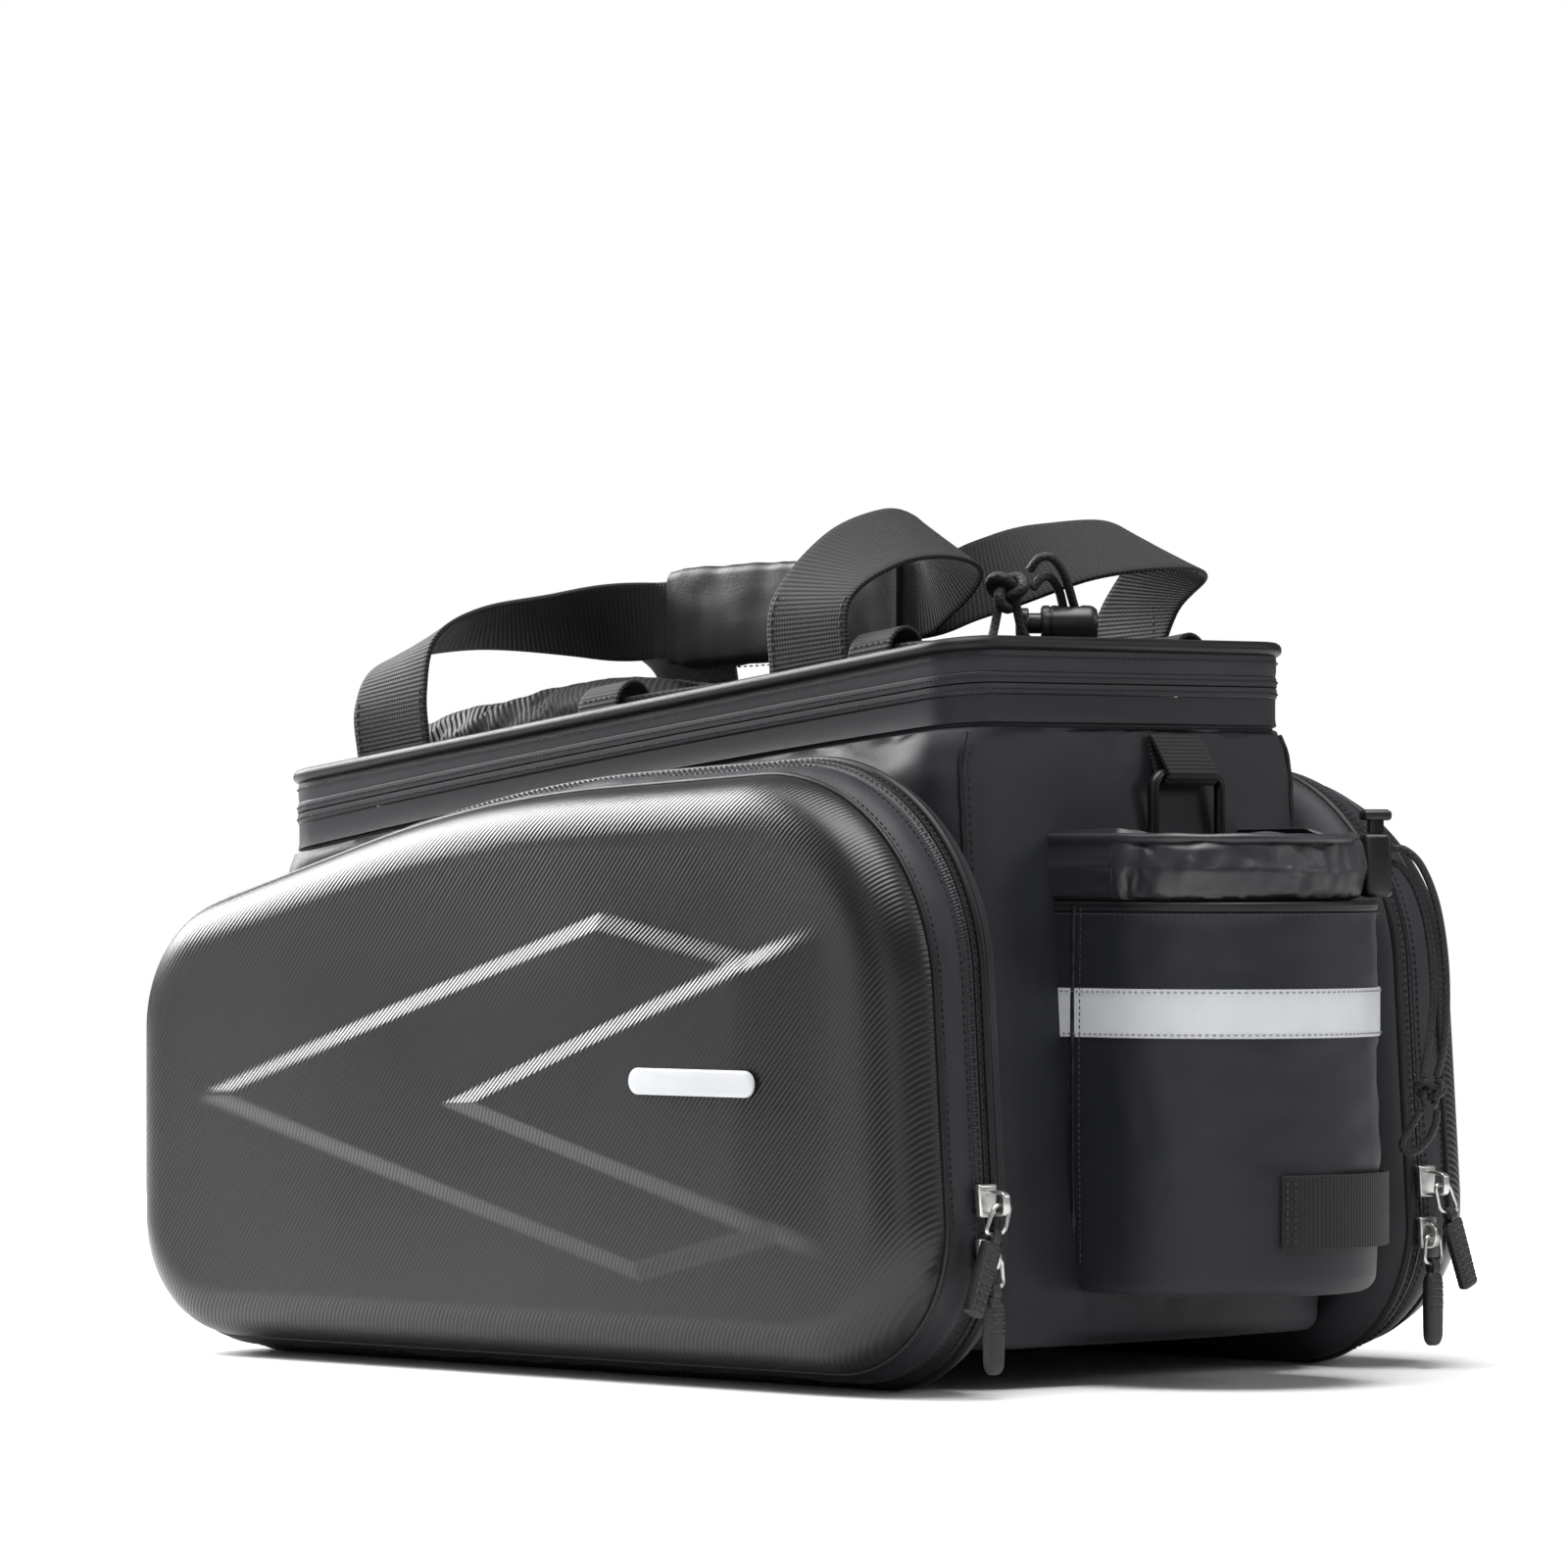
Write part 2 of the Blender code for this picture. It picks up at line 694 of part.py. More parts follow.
def make_lid():
    """The lid is a shallow tray, upside down, with a crowned top."""
    rings = [
        lid_ring(lambda x: zip_height(x) + ZIP_WIDTH / 2),
        lid_ring(lambda x: lid_edge(x) - LID_EDGE),
        lid_ring(lid_edge, LID_EDGE),
    ]
    for share in LID_ROWS:
        ring = lid_ring(lid_edge, HALF_WIDTH * share)
        rings.append([(x, y, lid_surface(x, y)) for x, y, _ in ring])
    add_wall(place_shape("lid_tray", loft(rings, cap_last=True), COATED_CLOTH), PADDED_WALL)
    stand_off = (LID_PIPING_RADIUS + GAP) * math.sqrt(0.5)
    ring = lid_ring(lambda x: lid_edge(x) - LID_EDGE / 2 + stand_off, LID_EDGE / 2 - stand_off)
    tube("lid_piping", ring, LID_PIPING_RADIUS, PIPING_CLOTH, sides_level=1, closed=True)


def pannier_corners(grow):
    """The side outline. grow is 0 at the shell's seam and 1 at the piping, where the outline is larger."""
    wide = grow * PIPING_GROW_ENDS
    tall = grow * PIPING_GROW
    rear = PANNIER_REAR + wide
    front = PANNIER_FRONT - wide
    low = PANNIER_BOTTOM - tall
    return (
        (rear, low, CORNER_REAR_BOTTOM, 4, 1),
        (rear - PANNIER_REAR_LEAN, PANNIER_BOTTOM + PANNIER_REAR_HEIGHT + tall, CORNER_REAR_TOP, 5, 1),
        (PANNIER_BEND_X, PANNIER_BOTTOM + PANNIER_BEND_HEIGHT + tall, CORNER_BEND, 3, 1),
        (front, PANNIER_BOTTOM + PANNIER_FRONT_HEIGHT + tall, CORNER_FRONT_TOP, 4, 1),
        (front, low, CORNER_FRONT_BOTTOM, 4, 1),
    )


def pannier_ring(distance, inset=0.0):
    """The near pannier's outline at a distance from the bag's middle plane, anticlockwise from outside."""
    grow = min(1.0, (SHELL_SEAM_Y - distance) / FRONT_GUSSET)
    return [(x, -distance, z) for x, z in rounded_outline(pannier_corners(grow), inset)]


def shell_point(share):
    """A place on the shell's face from shares of the pannier's length and rear height."""
    along, up = share
    return Vector(
        (PANNIER_FRONT + along * (PANNIER_REAR - PANNIER_FRONT), PANNIER_BOTTOM + up * PANNIER_REAR_HEIGHT)
    )


def line_meeting(first, first_way, second, second_way):
    """Where two lines in the side view meet."""
    ends = [point.to_3d() for point in (first, first + first_way, second, second + second_way)]
    return intersect_line_line(*ends)[0].to_2d()


def arrow_relief():
    """Points of the raised arrow panels, each with its level, and the creases between them."""
    tip, up, low = (shell_point(share) for share in (ARROW_TIP, ARROW_UP, ARROW_LOW))
    inner, inner_up, inner_low = (shell_point(share) for share in (INNER_TIP, INNER_UP, INNER_LOW))
    close_up = inner.lerp(inner_up, CLOSE_UP)
    close_low = inner.lerp(inner_low, CLOSE_LOW)
    raised_up = shifted_corner(close_up, up, tip, PANEL_BEVEL)
    raised_low = shifted_corner(tip, low, close_low, PANEL_BEVEL)
    raised_inner = shifted_corner(inner_up, inner, inner_low, PANEL_BEVEL)
    points = {
        "tip": (tip, 0),
        "up": (up, 0),
        "low": (low, 0),
        "close_up": (close_up, 0),
        "close_low": (close_low, 0),
        "inner_up": (inner_up, 0),
        "inner_low": (inner_low, 0),
        "raised_tip": (shifted_corner(up, tip, low, PANEL_BEVEL), 1),
        "raised_up": (raised_up, 1),
        "raised_low": (raised_low, 1),
        "meet_up": (line_meeting(raised_up, close_up - up, inner, inner_up - inner), 1),
        "meet_low": (line_meeting(raised_low, close_low - low, inner, inner_low - inner), 1),
        "inner": (inner, 1),
        "top": (raised_inner, 2),
        "top_up": (raised_inner + (inner_up - inner) * INNER_RUN, 2),
        "top_low": (raised_inner + (inner_low - inner) * INNER_RUN, 2),
    }
    creases = (
        "tip low, low close_low, tip up, up close_up, raised_tip raised_low, raised_low meet_low, "
        "raised_tip raised_up, raised_up meet_up, inner meet_low, meet_low close_low, close_low inner_low, "
        "inner meet_up, meet_up close_up, close_up inner_up, top top_low, top top_up, top_up top_low"
    )
    names = list(points)
    edges = [tuple(names.index(name) for name in crease.split()) for crease in creases.split(", ")]
    return list(points.values()), edges


def shell_crown(x, z):
    """How far the shell's face stands out, from nothing at its edge to the crown in the middle."""
    centre = shell_point(CROWN_AT)
    long = (x - centre.x) / ((PANNIER_REAR - PANNIER_FRONT) / 2 - SHELL_ROUNDING)
    tall = (z - centre.y) / (PANNIER_REAR_HEIGHT / 2 - SHELL_ROUNDING)
    return SHELL_CROWN * max(0.0, 1 - long**2) * max(0.0, 1 - tall**2)


def make_near_shell():
    """The moulded shell: a rounded rim and a face with the raised arrow panels."""
    rings = []
    for step in range(ROUNDING_STEPS + 1):
        angle = math.radians(90 * step / ROUNDING_STEPS)
        ring = pannier_ring(SHELL_SEAM_Y, SHELL_ROUNDING * (1 - math.cos(angle)))
        rings.append([(x, y - SHELL_DEPTH * math.sin(angle), z) for x, y, z in ring])
    shape = loft(rings)
    shape.verts.ensure_lookup_table()
    rim = shape.verts[-len(rings[-1]) :]
    relief, creases = arrow_relief()
    flat = [Vector((vert.co.x, vert.co.z)) for vert in rim] + [point for point, _ in relief]
    count = len(rim)
    edges = [(here, (here + 1) % count) for here in range(count)]
    edges += [(count + first, count + second) for first, second in creases]
    points, _, faces, sources, _, _ = delaunay_2d_cdt(flat, edges, [list(range(count))], 1, 1e-6)
    verts = []
    for point, source in zip(points, sources):
        if source and source[0] < count:
            verts.append(rim[source[0]])
            continue
        level = relief[source[0] - count][1] if source else 0
        height = SHELL_SEAM_Y + SHELL_DEPTH + shell_crown(*point) + PANEL_RISE * level
        verts.append(shape.verts.new((point.x, -height, point.y)))
    for face in faces:
        shape.faces.new([verts[index] for index in face])
    return add_wall(place_shape("pannier_near_shell", shape, CARBON_SHELL), SHELL_WALL)


def make_pannier_pieces():
    """Tub, zip, gusset, shell and piping of both panniers. The far ones mirror the near ones."""
    back = BODY_HALF + GAP
    piping_low = PIPING_Y - PIPING_RADIUS - GAP
    zip_low = PANNIER_ZIP_Y - PANNIER_ZIP_WIDTH / 2
    zip_high = PANNIER_ZIP_Y + PANNIER_ZIP_WIDTH / 2
    tub = loft(
        [
            pannier_ring(back, BACK_INSET),
            pannier_ring(back + BACK_GUSSET * EDGE_ROW, BACK_INSET * EDGE_ROW),
            pannier_ring(piping_low),
        ],
        cap_first=True,
    )
    zip_tape = loft([pannier_ring(zip_low), pannier_ring(zip_high)])
    gusset = loft([pannier_ring(zip_high + GAP), pannier_ring(SHELL_SEAM_Y - GAP)])
    near = [(make_near_shell(), CARBON_SHELL)]
    for name, shape, look in (
        ("tub", tub, COATED_CLOTH),
        ("zip", zip_tape, ZIP_TAPE),
        ("gusset", gusset, COATED_CLOTH),
    ):
        near.append((add_wall(place_shape(f"pannier_near_{name}", shape, look), CLOTH_WALL), look))
    for part, look in near:
        mirror_across(part, part.name.replace("near", "far"), look)
    inset = PIPING_RADIUS - PIPING_PROUD
    for side, name in ((1, "near"), (-1, "far")):
        ring = [(x, y * side, z) for x, y, z in pannier_ring(PIPING_Y, inset)]
        tube(f"pannier_{name}_piping", ring, PIPING_RADIUS, PIPING_CLOTH, sides_level=1, closed=True)


def outline_rear(z):
    """The zip's outer face at the rear of a pannier, at a height on the straight edge or the lower corner."""
    rear_half = [point for point in pannier_ring(PANNIER_ZIP_Y - PANNIER_ZIP_WIDTH / 2) if point[0] > 0]
    found = []
    for (x1, _, z1), (x2, _, z2) in zip(rear_half, rear_half[1:]):
        if min(z1, z2) <= z <= max(z1, z2) and z1 != z2:
            found.append(x1 + (x2 - x1) * (z - z1) / (z2 - z1))
    return max(found)


def make_slider(label, which, y, height, stand_off):
    """A slider on the pannier's zip. It gives back the middle of the eye in its bridge."""
    face = max(outline_rear(height - SLIDER_LENGTH / 2), outline_rear(height + SLIDER_LENGTH / 2)) + GAP
    slider = box(
        f"{label}_slider_{which}",
        (face + SLIDER_THICK / 2, y, height),
        (SLIDER_THICK, SLIDER_WIDTH, SLIDER_LENGTH),
        SLIDER_EDGE,
        STEEL,
    )
    reach = BRIDGE_REACH + stand_off
    bridge_low = face + SLIDER_THICK / 2
    bridge_high = face + SLIDER_THICK + reach
    eye = Vector((bridge_high - BRIDGE_REACH / 2, y, height - BRIDGE_DROP))
    bridge = box(
        f"{label}_bridge_{which}",
        ((bridge_low + bridge_high) / 2, y, eye.z),
        (bridge_high - bridge_low, BRIDGE_WIDTH, BRIDGE_LENGTH),
        BRIDGE_EDGE,
    )
    combine(slider, bridge, "UNION")
    hole = rod_cutter(f"{label}_eye_{which}", eye, PULL_RING_WIRE + GAP, SLIDER_WIDTH, ACROSS)
    combine(slider, hole, "DIFFERENCE")
    return eye


def make_pull(label, which, eye, lean):
    """A wire ring through the slider's eye, and the rubber grip that hangs from it. lean swings its foot to +Y."""
    half = PULL_RING_WIDTH / 2
    narrow = half * PULL_RING_TAPER
    corners = (
        (half, -PULL_RING_LENGTH, PULL_RING_CORNER, 2, 1),
        (narrow, 0.0, PULL_RING_CORNER, 2, 1),
        (-narrow, 0.0, PULL_RING_CORNER, 2, 1),
        (-half, -PULL_RING_LENGTH, PULL_RING_CORNER, 2, 1),
    )
    # A leaning ring keeps both its bars level, so that they still run through the eyes.
    ring = [(0.0, u - v * math.tan(lean), v) for u, v in rounded_outline(corners)]
    tube(f"{label}_pull_ring_{which}", ring, PULL_RING_WIRE, STEEL, sides_level=1, closed=True, at=eye)
    low_bar = eye + Vector((0.0, PULL_RING_LENGTH * math.tan(lean), -PULL_RING_LENGTH))
    hang = Matrix.Translation(low_bar) @ Matrix.Rotation(lean, 4, "X")
    grip_top = -PULL_RING_WIRE - LUG_LENGTH
    grip = box(
        f"{label}_pull_grip_{which}",
        (0, 0, grip_top - GRIP_LENGTH / 2),
        (GRIP_THICK, GRIP_WIDTH, GRIP_LENGTH),
        GRIP_EDGE,
        RUBBER,
    )
    grip.matrix_world = hang @ grip.matrix_world
    lug_high = PULL_RING_WIRE * 2 + GAP
    lug_low = grip_top - GRIP_EDGE * 2
    lug = box(
        f"{label}_lug_{which}",
        (0, 0, (lug_high + lug_low) / 2),
        (LUG_THICK, LUG_WIDTH, lug_high - lug_low),
        BRIDGE_EDGE,
    )
    lug.matrix_world = hang @ lug.matrix_world
    combine(grip, lug, "UNION")
    hole = rod_cutter(f"{label}_lug_eye_{which}", low_bar, PULL_RING_WIRE + GAP, GRIP_WIDTH, ACROSS)
    combine(grip, hole, "DIFFERENCE")


def handle_path():
    """The near handle as rows of its centre and its width, each a vector."""
    rows = []
    for x, y, rise, way, share in HANDLE_ROWS:
        out = -(y * HALF_WIDTH + GRIP_GAP + HANDLE_THICK / 2)
        rows.append((x * HALF_LENGTH, out, rise, *way, share))
    path = []
    for x, y, rise, *way, share in smooth_rows(rows, 2):
        centre = Vector((x, y, lid_edge(x) + rise * HANDLE_RISE))
        path.append((centre, Vector(way).normalized() * HANDLE_WIDTH * share))
    return path


def make_handle(name, side):
    """One webbing handle. side is 1 on the near side and -1 on the far side."""
    flip = Matrix.Diagonal((1.0, side, 1.0))
    path = handle_path()
    ribbon(name, [flip @ centre for centre, _ in path], [flip @ width for _, width in path], HANDLE_THICK, WEBBING)


def make_wrap():
    """The padded sleeve that holds both handles together. It follows the rows of their path."""
    path = handle_path()
    spread = max(abs(centre.y) for centre, _ in path if WRAP_START <= centre.x <= WRAP_END)
    thick = spread + HANDLE_THICK / 2 + GAP * 2 + WRAP_WALL
    rings = []
    for step in range(WRAP_STEPS + 1):
        x = WRAP_START + (WRAP_END - WRAP_START) * step / WRAP_STEPS
        low, high = next(pair for pair in zip(path, path[1:]) if pair[0][0].x <= x <= pair[1][0].x)
        share = (x - low[0].x) / (high[0].x - low[0].x)
        centre = low[0].lerp(high[0], share).z
        tall = low[1].lerp(high[1], share).length / 2 + GAP * 2 + WRAP_CORNER
        corners = [(u * thick, v * tall, WRAP_CORNER, 2, 1) for u, v in ((1, -1), (1, 1), (-1, 1), (-1, -1))]
        rings.append([(x, u, centre + v) for u, v in rounded_outline(corners)])
    add_wall(place_shape("handle_wrap", loft(rings), COATED_CLOTH), WRAP_WALL)


def make_net():
    """The elastic net pocket, a low dome on the lid's front half."""
    corners = (
        (NET_REAR, -NET_HALF_WIDTH, NET_CORNER, 2, 3),
        (NET_REAR, NET_HALF_WIDTH, NET_CORNER, 2, 3),
        (NET_FRONT, NET_HALF_WIDTH, NET_CORNER, 2, 3),
        (NET_FRONT, -NET_HALF_WIDTH, NET_CORNER, 2, 3),
    )
    rings = []
    for inset, rise in NET_ROWS:
        ring = rounded_outline(corners, inset * NET_HALF_WIDTH)
        rings.append([(x, y, lid_surface(x, y) + GAP + rise * NET_RISE) for x, y in ring])
    add_wall(place_shape("lid_net_pocket", loft(rings, cap_last=True), NET), NET_WALL)


def make_tab(name, x, side):
    """A webbing arch, stitched at both feet, that the bungee runs through."""
    centres = []
    for step in range(TAB_STEPS + 1):
        angle = math.pi * step / TAB_STEPS
        y = side * TAB_Y + TAB_SPAN / 2 * math.cos(angle)
        centres.append(Vector((x, y, lid_surface(x, y) + GAP * 2 + TAB_RISE * math.sin(angle))))
    slope = (LID_REAR - LID_FRONT) / LID_LENGTH
    width = Vector((1.0, 0.0, slope)).normalized() * TAB_WIDTH
    ribbon(name, centres, [width] * len(centres), TAB_THICK, WEBBING)


def shifted(point, along):
    """A place of a table that counts its x from another piece's."""
    return Vector(point) + Vector((along, 0.0, 0.0))


def knot_points(centre, size, count=26):
    """A trefoil, which is how a tightened overhand knot lies. Its flat side faces the corner between +X and -Y."""
    points = []
    for step in range(count):
        angle = math.tau * step / count
        across = math.sin(angle) + 2 * math.sin(2 * angle)
        tall = math.cos(angle) - 2 * math.cos(2 * angle)
        deep = -math.sin(3 * angle) * KNOT_DEPTH
        turned_place = Matrix.Rotation(math.radians(45), 3, "Z") @ Vector((across, deep, tall))
        points.append(Vector(centre) + turned_place * size)
    return points


def make_bungee():
    route = []
    for share, y, rise in BUNGEE_ROUTE:
        x = share * HALF_LENGTH
        route.append((x, y, lid_surface(x, y) + rise))
    tube("bungee_cord", even_route(route, BUNGEE_RADIUS * ROUTE_SPACING), BUNGEE_RADIUS, ELASTIC)
    knot = knot_points(shifted(BUNGEE_KNOT, TAB_REAR_X), BUNGEE_RADIUS * KNOT_SIZE)
    tube("bungee_knot", knot, BUNGEE_RADIUS, ELASTIC, sides_level=1, closed=True)
    for name, points in BUNGEE_TAILS.items():
        route = even_route([shifted(point, TAB_REAR_X) for point in points], BUNGEE_RADIUS * LOOP_SPACING)
        tube(f"bungee_tail_{name}", route, BUNGEE_RADIUS, ELASTIC)


def turned(name, profile, look, matrix, steps=16):
    """A turned piece. The profile runs down its outer side as (radius, height)."""
    shape = bmesh.new()
    verts = [shape.verts.new((radius, 0.0, height)) for radius, height in profile]
    for first, second in zip(verts, verts[1:]):
        shape.edges.new((first, second))
    made = place_shape(name, shape, look)
    screw = made.modifiers.new("Turn", "SCREW")
    screw.steps = steps
    screw.render_steps = steps
    screw.use_merge_vertices = True
    screw.merge_threshold = 0.00001
    made.matrix_world = matrix
    return made


def make_barrel_lock():
    """A barrel cord lock. It lies so that its plunger's end faces the corner between -X and -Y."""
    turn = Matrix.Rotation(math.radians(BARREL_TURN), 4, "Z")
    middle = shifted(BARREL_AT, TAB_REAR_X)
    lying = Matrix.Translation(middle) @ turn @ Matrix.Rotation(math.radians(-90), 4, "Y")
    half = BARREL_LENGTH / 2
    bore_end = BARREL_END_WALL - half
    body = turned(
        "bungee_lock_body",
        [
            (0.0, bore_end),
            (BARREL_BORE, bore_end),
            (BARREL_BORE, half),
            (BARREL_RADIUS - BARREL_EDGE, half),
            (BARREL_RADIUS, half - BARREL_EDGE),
            (BARREL_RADIUS, BARREL_EDGE - half),
            (BARREL_RADIUS - BARREL_EDGE, -half),
            (0.0, -half),
        ],
        LOCK_PLASTIC,
        lying,
    )
    port = box(
        "bungee_lock_port",
        middle + Vector((0.0, 0.0, BARREL_RADIUS)),
        (PORT_LENGTH, PORT_WIDTH, (BARREL_RADIUS - BARREL_BORE) * 4),
        BARREL_EDGE * 0.8,
        turn=turn,
    )
    combine(body, port, "DIFFERENCE")
    cap_low = half + PLUNGER_TRAVEL + GAP
    cap_high = cap_low + PLUNGER_CAP
    turned(
        "bungee_lock_plunger",
        [
            (0.0, cap_high),
            (PLUNGER_CAP_RADIUS - BARREL_EDGE, cap_high),
            (PLUNGER_CAP_RADIUS, cap_high - BARREL_EDGE),
            (PLUNGER_CAP_RADIUS, cap_low),
            (PLUNGER_STEM, cap_low),
            (PLUNGER_STEM, half - PLUNGER_REACH),
            (0.0, half - PLUNGER_REACH),
        ],
        LOCK_PLASTIC,
        lying,
    )


def pocket_ring(z, radius, centre_x, centre_y, out=0.0, back=True):
    """A D in plan: from the rear wall out, round the front, and back to the wall, anticlockwise."""
    reach = radius + out
    points = [(rear_wall(centre_y - reach, z) + POCKET_CLEAR, centre_y - reach)]
    for step in range(POCKET_STEPS + 1):
        angle = math.pi * (step / POCKET_STEPS - 0.5)
        points.append((centre_x + reach * math.cos(angle), centre_y + reach * math.sin(angle)))
    points.append((rear_wall(centre_y + reach, z) + POCKET_CLEAR, centre_y + reach))
    if back:
        for share in (0.5, 0.0, -0.5):
            y = centre_y + reach * share
            points.append((rear_wall(y, z) + POCKET_CLEAR, y))
    return [(x, y, z) for x, y in points]


def make_pocket():
    """The bottle pocket, a padded D-shaped cup against the rear wall."""
    full = (POCKET_RADIUS, POCKET_X, POCKET_Y)
    rings = [
        pocket_ring(POCKET_BOTTOM, *full, out=-POCKET_EDGE),
        pocket_ring(POCKET_BOTTOM + POCKET_EDGE * EDGE_ROW, *full, out=-POCKET_EDGE * EDGE_ROW),
        pocket_ring(POCKET_BOTTOM + POCKET_EDGE, *full),
        pocket_ring(POCKET_TOP, *full),
    ]
    add_wall(place_shape("bottle_pocket", loft(rings, cap_first=True), COATED_CLOTH), CLOTH_WALL)


def make_collar():
    """The gathered satin collar above the pocket, open towards the rear wall."""
    low = POCKET_TOP + GAP
    rings = []
    for share, puff in COLLAR_ROWS:
        z = low + (COLLAR_TOP - low) * share
        rings.append(pocket_ring(z, COLLAR_RADIUS, COLLAR_X, COLLAR_Y, out=COLLAR_PUFF * puff, back=False))
    add_wall(place_shape("pocket_collar", loft(rings, round_rings=False), SATIN), COLLAR_WALL)


def make_pocket_trim():
    """The reflective strip round the pocket, and the webbing loop that carries a tail light."""
    levels = (STRIP_LOW, STRIP_LOW + STRIP_HEIGHT)
    out = GAP + STRIP_THICK
    rings = [pocket_ring(z, POCKET_RADIUS, POCKET_X, POCKET_Y, out=out, back=False) for z in levels]
    add_wall(place_shape("pocket_reflective_strip", loft(rings, round_rings=False), REFLECTIVE), STRIP_THICK)
    centres = []
    for step in range(POCKET_STEPS + 1):
        share = step / POCKET_STEPS
        angle = math.radians(LIGHT_LOOP_FIRST + (LIGHT_LOOP_LAST - LIGHT_LOOP_FIRST) * share)
        reach = POCKET_RADIUS + GAP + LIGHT_LOOP_THICK / 2 + LIGHT_LOOP_SLACK * math.sin(math.pi * share)
        x = POCKET_X + reach * math.cos(angle)
        y = POCKET_Y + reach * math.sin(angle)
        centres.append(Vector((x, y, LIGHT_LOOP_LOW + LIGHT_LOOP_HEIGHT / 2)))
    width = Vector((0.0, 0.0, LIGHT_LOOP_HEIGHT))
    ribbon("tail_light_loop", centres, [width] * len(centres), LIGHT_LOOP_THICK, WEBBING)


def make_drawcord_lock():
    """The cord lock on the collar. Its plunger goes in from above."""
    angle = math.radians(LOCK_ANGLE)
    reach = COLLAR_RADIUS + COLLAR_PUFF + GAP + LOCK_DEPTH / 2
    x = COLLAR_X + reach * math.cos(angle)
    y = COLLAR_Y + reach * math.sin(angle)
    turn = Matrix.Rotation(angle, 4, "Z")
    top = LOCK_LOW + LOCK_HEIGHT
    body = box(
        "drawcord_lock_body",
        (x, y, LOCK_LOW + LOCK_HEIGHT / 2),
        (LOCK_DEPTH, LOCK_WIDTH, LOCK_HEIGHT),
        LOCK_EDGE,
        LOCK_PLASTIC,
        turn,
        2,
    )
    bore = box(
        "drawcord_lock_bore",
        (x, y, top),
        (LOCK_BORE_DEPTH, LOCK_BORE_WIDTH, LOCK_BORE_DEEP * 2),
        turn=turn,
    )
    combine(body, bore, "DIFFERENCE")
    cap_low = top + PLUNGER_TRAVEL + GAP
    plunger = box(
        "drawcord_lock_plunger",
        (x, y, cap_low + LOCK_CAP_HEIGHT / 2),
        (LOCK_DEPTH, LOCK_CAP_WIDTH, LOCK_CAP_HEIGHT),
        LOCK_CAP_EDGE,
        LOCK_PLASTIC,
        turn,
    )
    stem_low = top - LOCK_BORE_DEEP + PLUNGER_TRAVEL + GAP
    stem_high = cap_low + LOCK_CAP_HEIGHT / 2
    stem = box(
        "drawcord_lock_stem",
        (x, y, (stem_low + stem_high) / 2),
        (LOCK_BORE_DEPTH - GAP * 2, LOCK_BORE_WIDTH - GAP * 2, stem_high - stem_low),
        turn=turn,
    )
    combine(plunger, stem, "UNION")


def make_drawcord():
    """The two cord tails that hang from the lock, their knot and the loop at the end."""
    for name, points in DRAWCORD_TAILS.items():
        route = even_route([shifted(point, POCKET_X) for point in points], DRAWCORD_RADIUS * TAIL_SPACING)
        tube(f"drawcord_tail_{name}", route, DRAWCORD_RADIUS, ELASTIC)
    knot = knot_points(shifted(DRAWCORD_KNOT, POCKET_X), DRAWCORD_RADIUS * KNOT_SIZE)
    tube("drawcord_knot", knot, DRAWCORD_RADIUS, ELASTIC, sides_level=1, closed=True)
    route = even_route([shifted(point, POCKET_X) for point in DRAWCORD_END], DRAWCORD_RADIUS * LOOP_SPACING)
    tube("drawcord_end_loop", route, DRAWCORD_RADIUS, ELASTIC)


def make_ring():
    """A black wire ring that hangs from a webbing loop on the rear wall and swings about its top bar."""
    half = RING_WIDTH / 2
    corners = (
        (half, -RING_LENGTH, RING_CORNER, 3, 1),
        (half, 0.0, RING_CORNER, 3, 1),
        (-half, 0.0, RING_CORNER, 3, 1),
        (-half, -RING_LENGTH, RING_CORNER, 3, 1),
    )
    ring = [(0.0, u, v) for u, v in rounded_outline(corners)]
    axis = (RING_AXIS_X, RING_Y, RING_AXIS_Z)
    tube("rear_ring", ring, RING_WIRE, BLACK_WIRE, closed=True, at=axis)


def make_ring_strap():
    """A webbing loop round the ring's top bar, with its stitched end folded over on the rear wall."""
    turn_radius = RING_WIRE + GAP + RING_STRAP_THICK / 2
    clear = GAP + RING_STRAP_THICK / 2
    neck = RING_AXIS_Z + RING_STRAP_NECK
    top = rear_wall(RING_Y, RING_STRAP_TOP) + clear
    fold = RING_STRAP_FOLD
    path = []
    for step in range(RING_STRAP_STEPS + 1):
        angle = math.radians(RING_STRAP_FIRST + (RING_STRAP_LAST - RING_STRAP_FIRST) * step / RING_STRAP_STEPS)
        path.append((RING_AXIS_X + turn_radius * math.cos(angle), RING_AXIS_Z + turn_radius * math.sin(angle)))
    path += [
        (rear_wall(RING_Y, neck) + clear + fold / 3, neck),
        (top, RING_STRAP_TOP - fold),
        (top + fold / 3, RING_STRAP_TOP),
        (top + fold, RING_STRAP_TOP - fold / 3),
    ]
    width = Vector((0.0, RING_STRAP_WIDTH, 0.0))
    centres = [Vector((x, RING_Y, z)) for x, z in path]
    ribbon("ring_webbing_loop", centres, [width] * len(centres), RING_STRAP_THICK, WEBBING, round_path=True)


for leftover in list(bpy.data.objects):
    bpy.data.objects.remove(leftover, do_unlink=True)
PARTS = new_collection("bicycle_trunk_bag")
CUTTERS = new_collection("cutters", hidden=True)

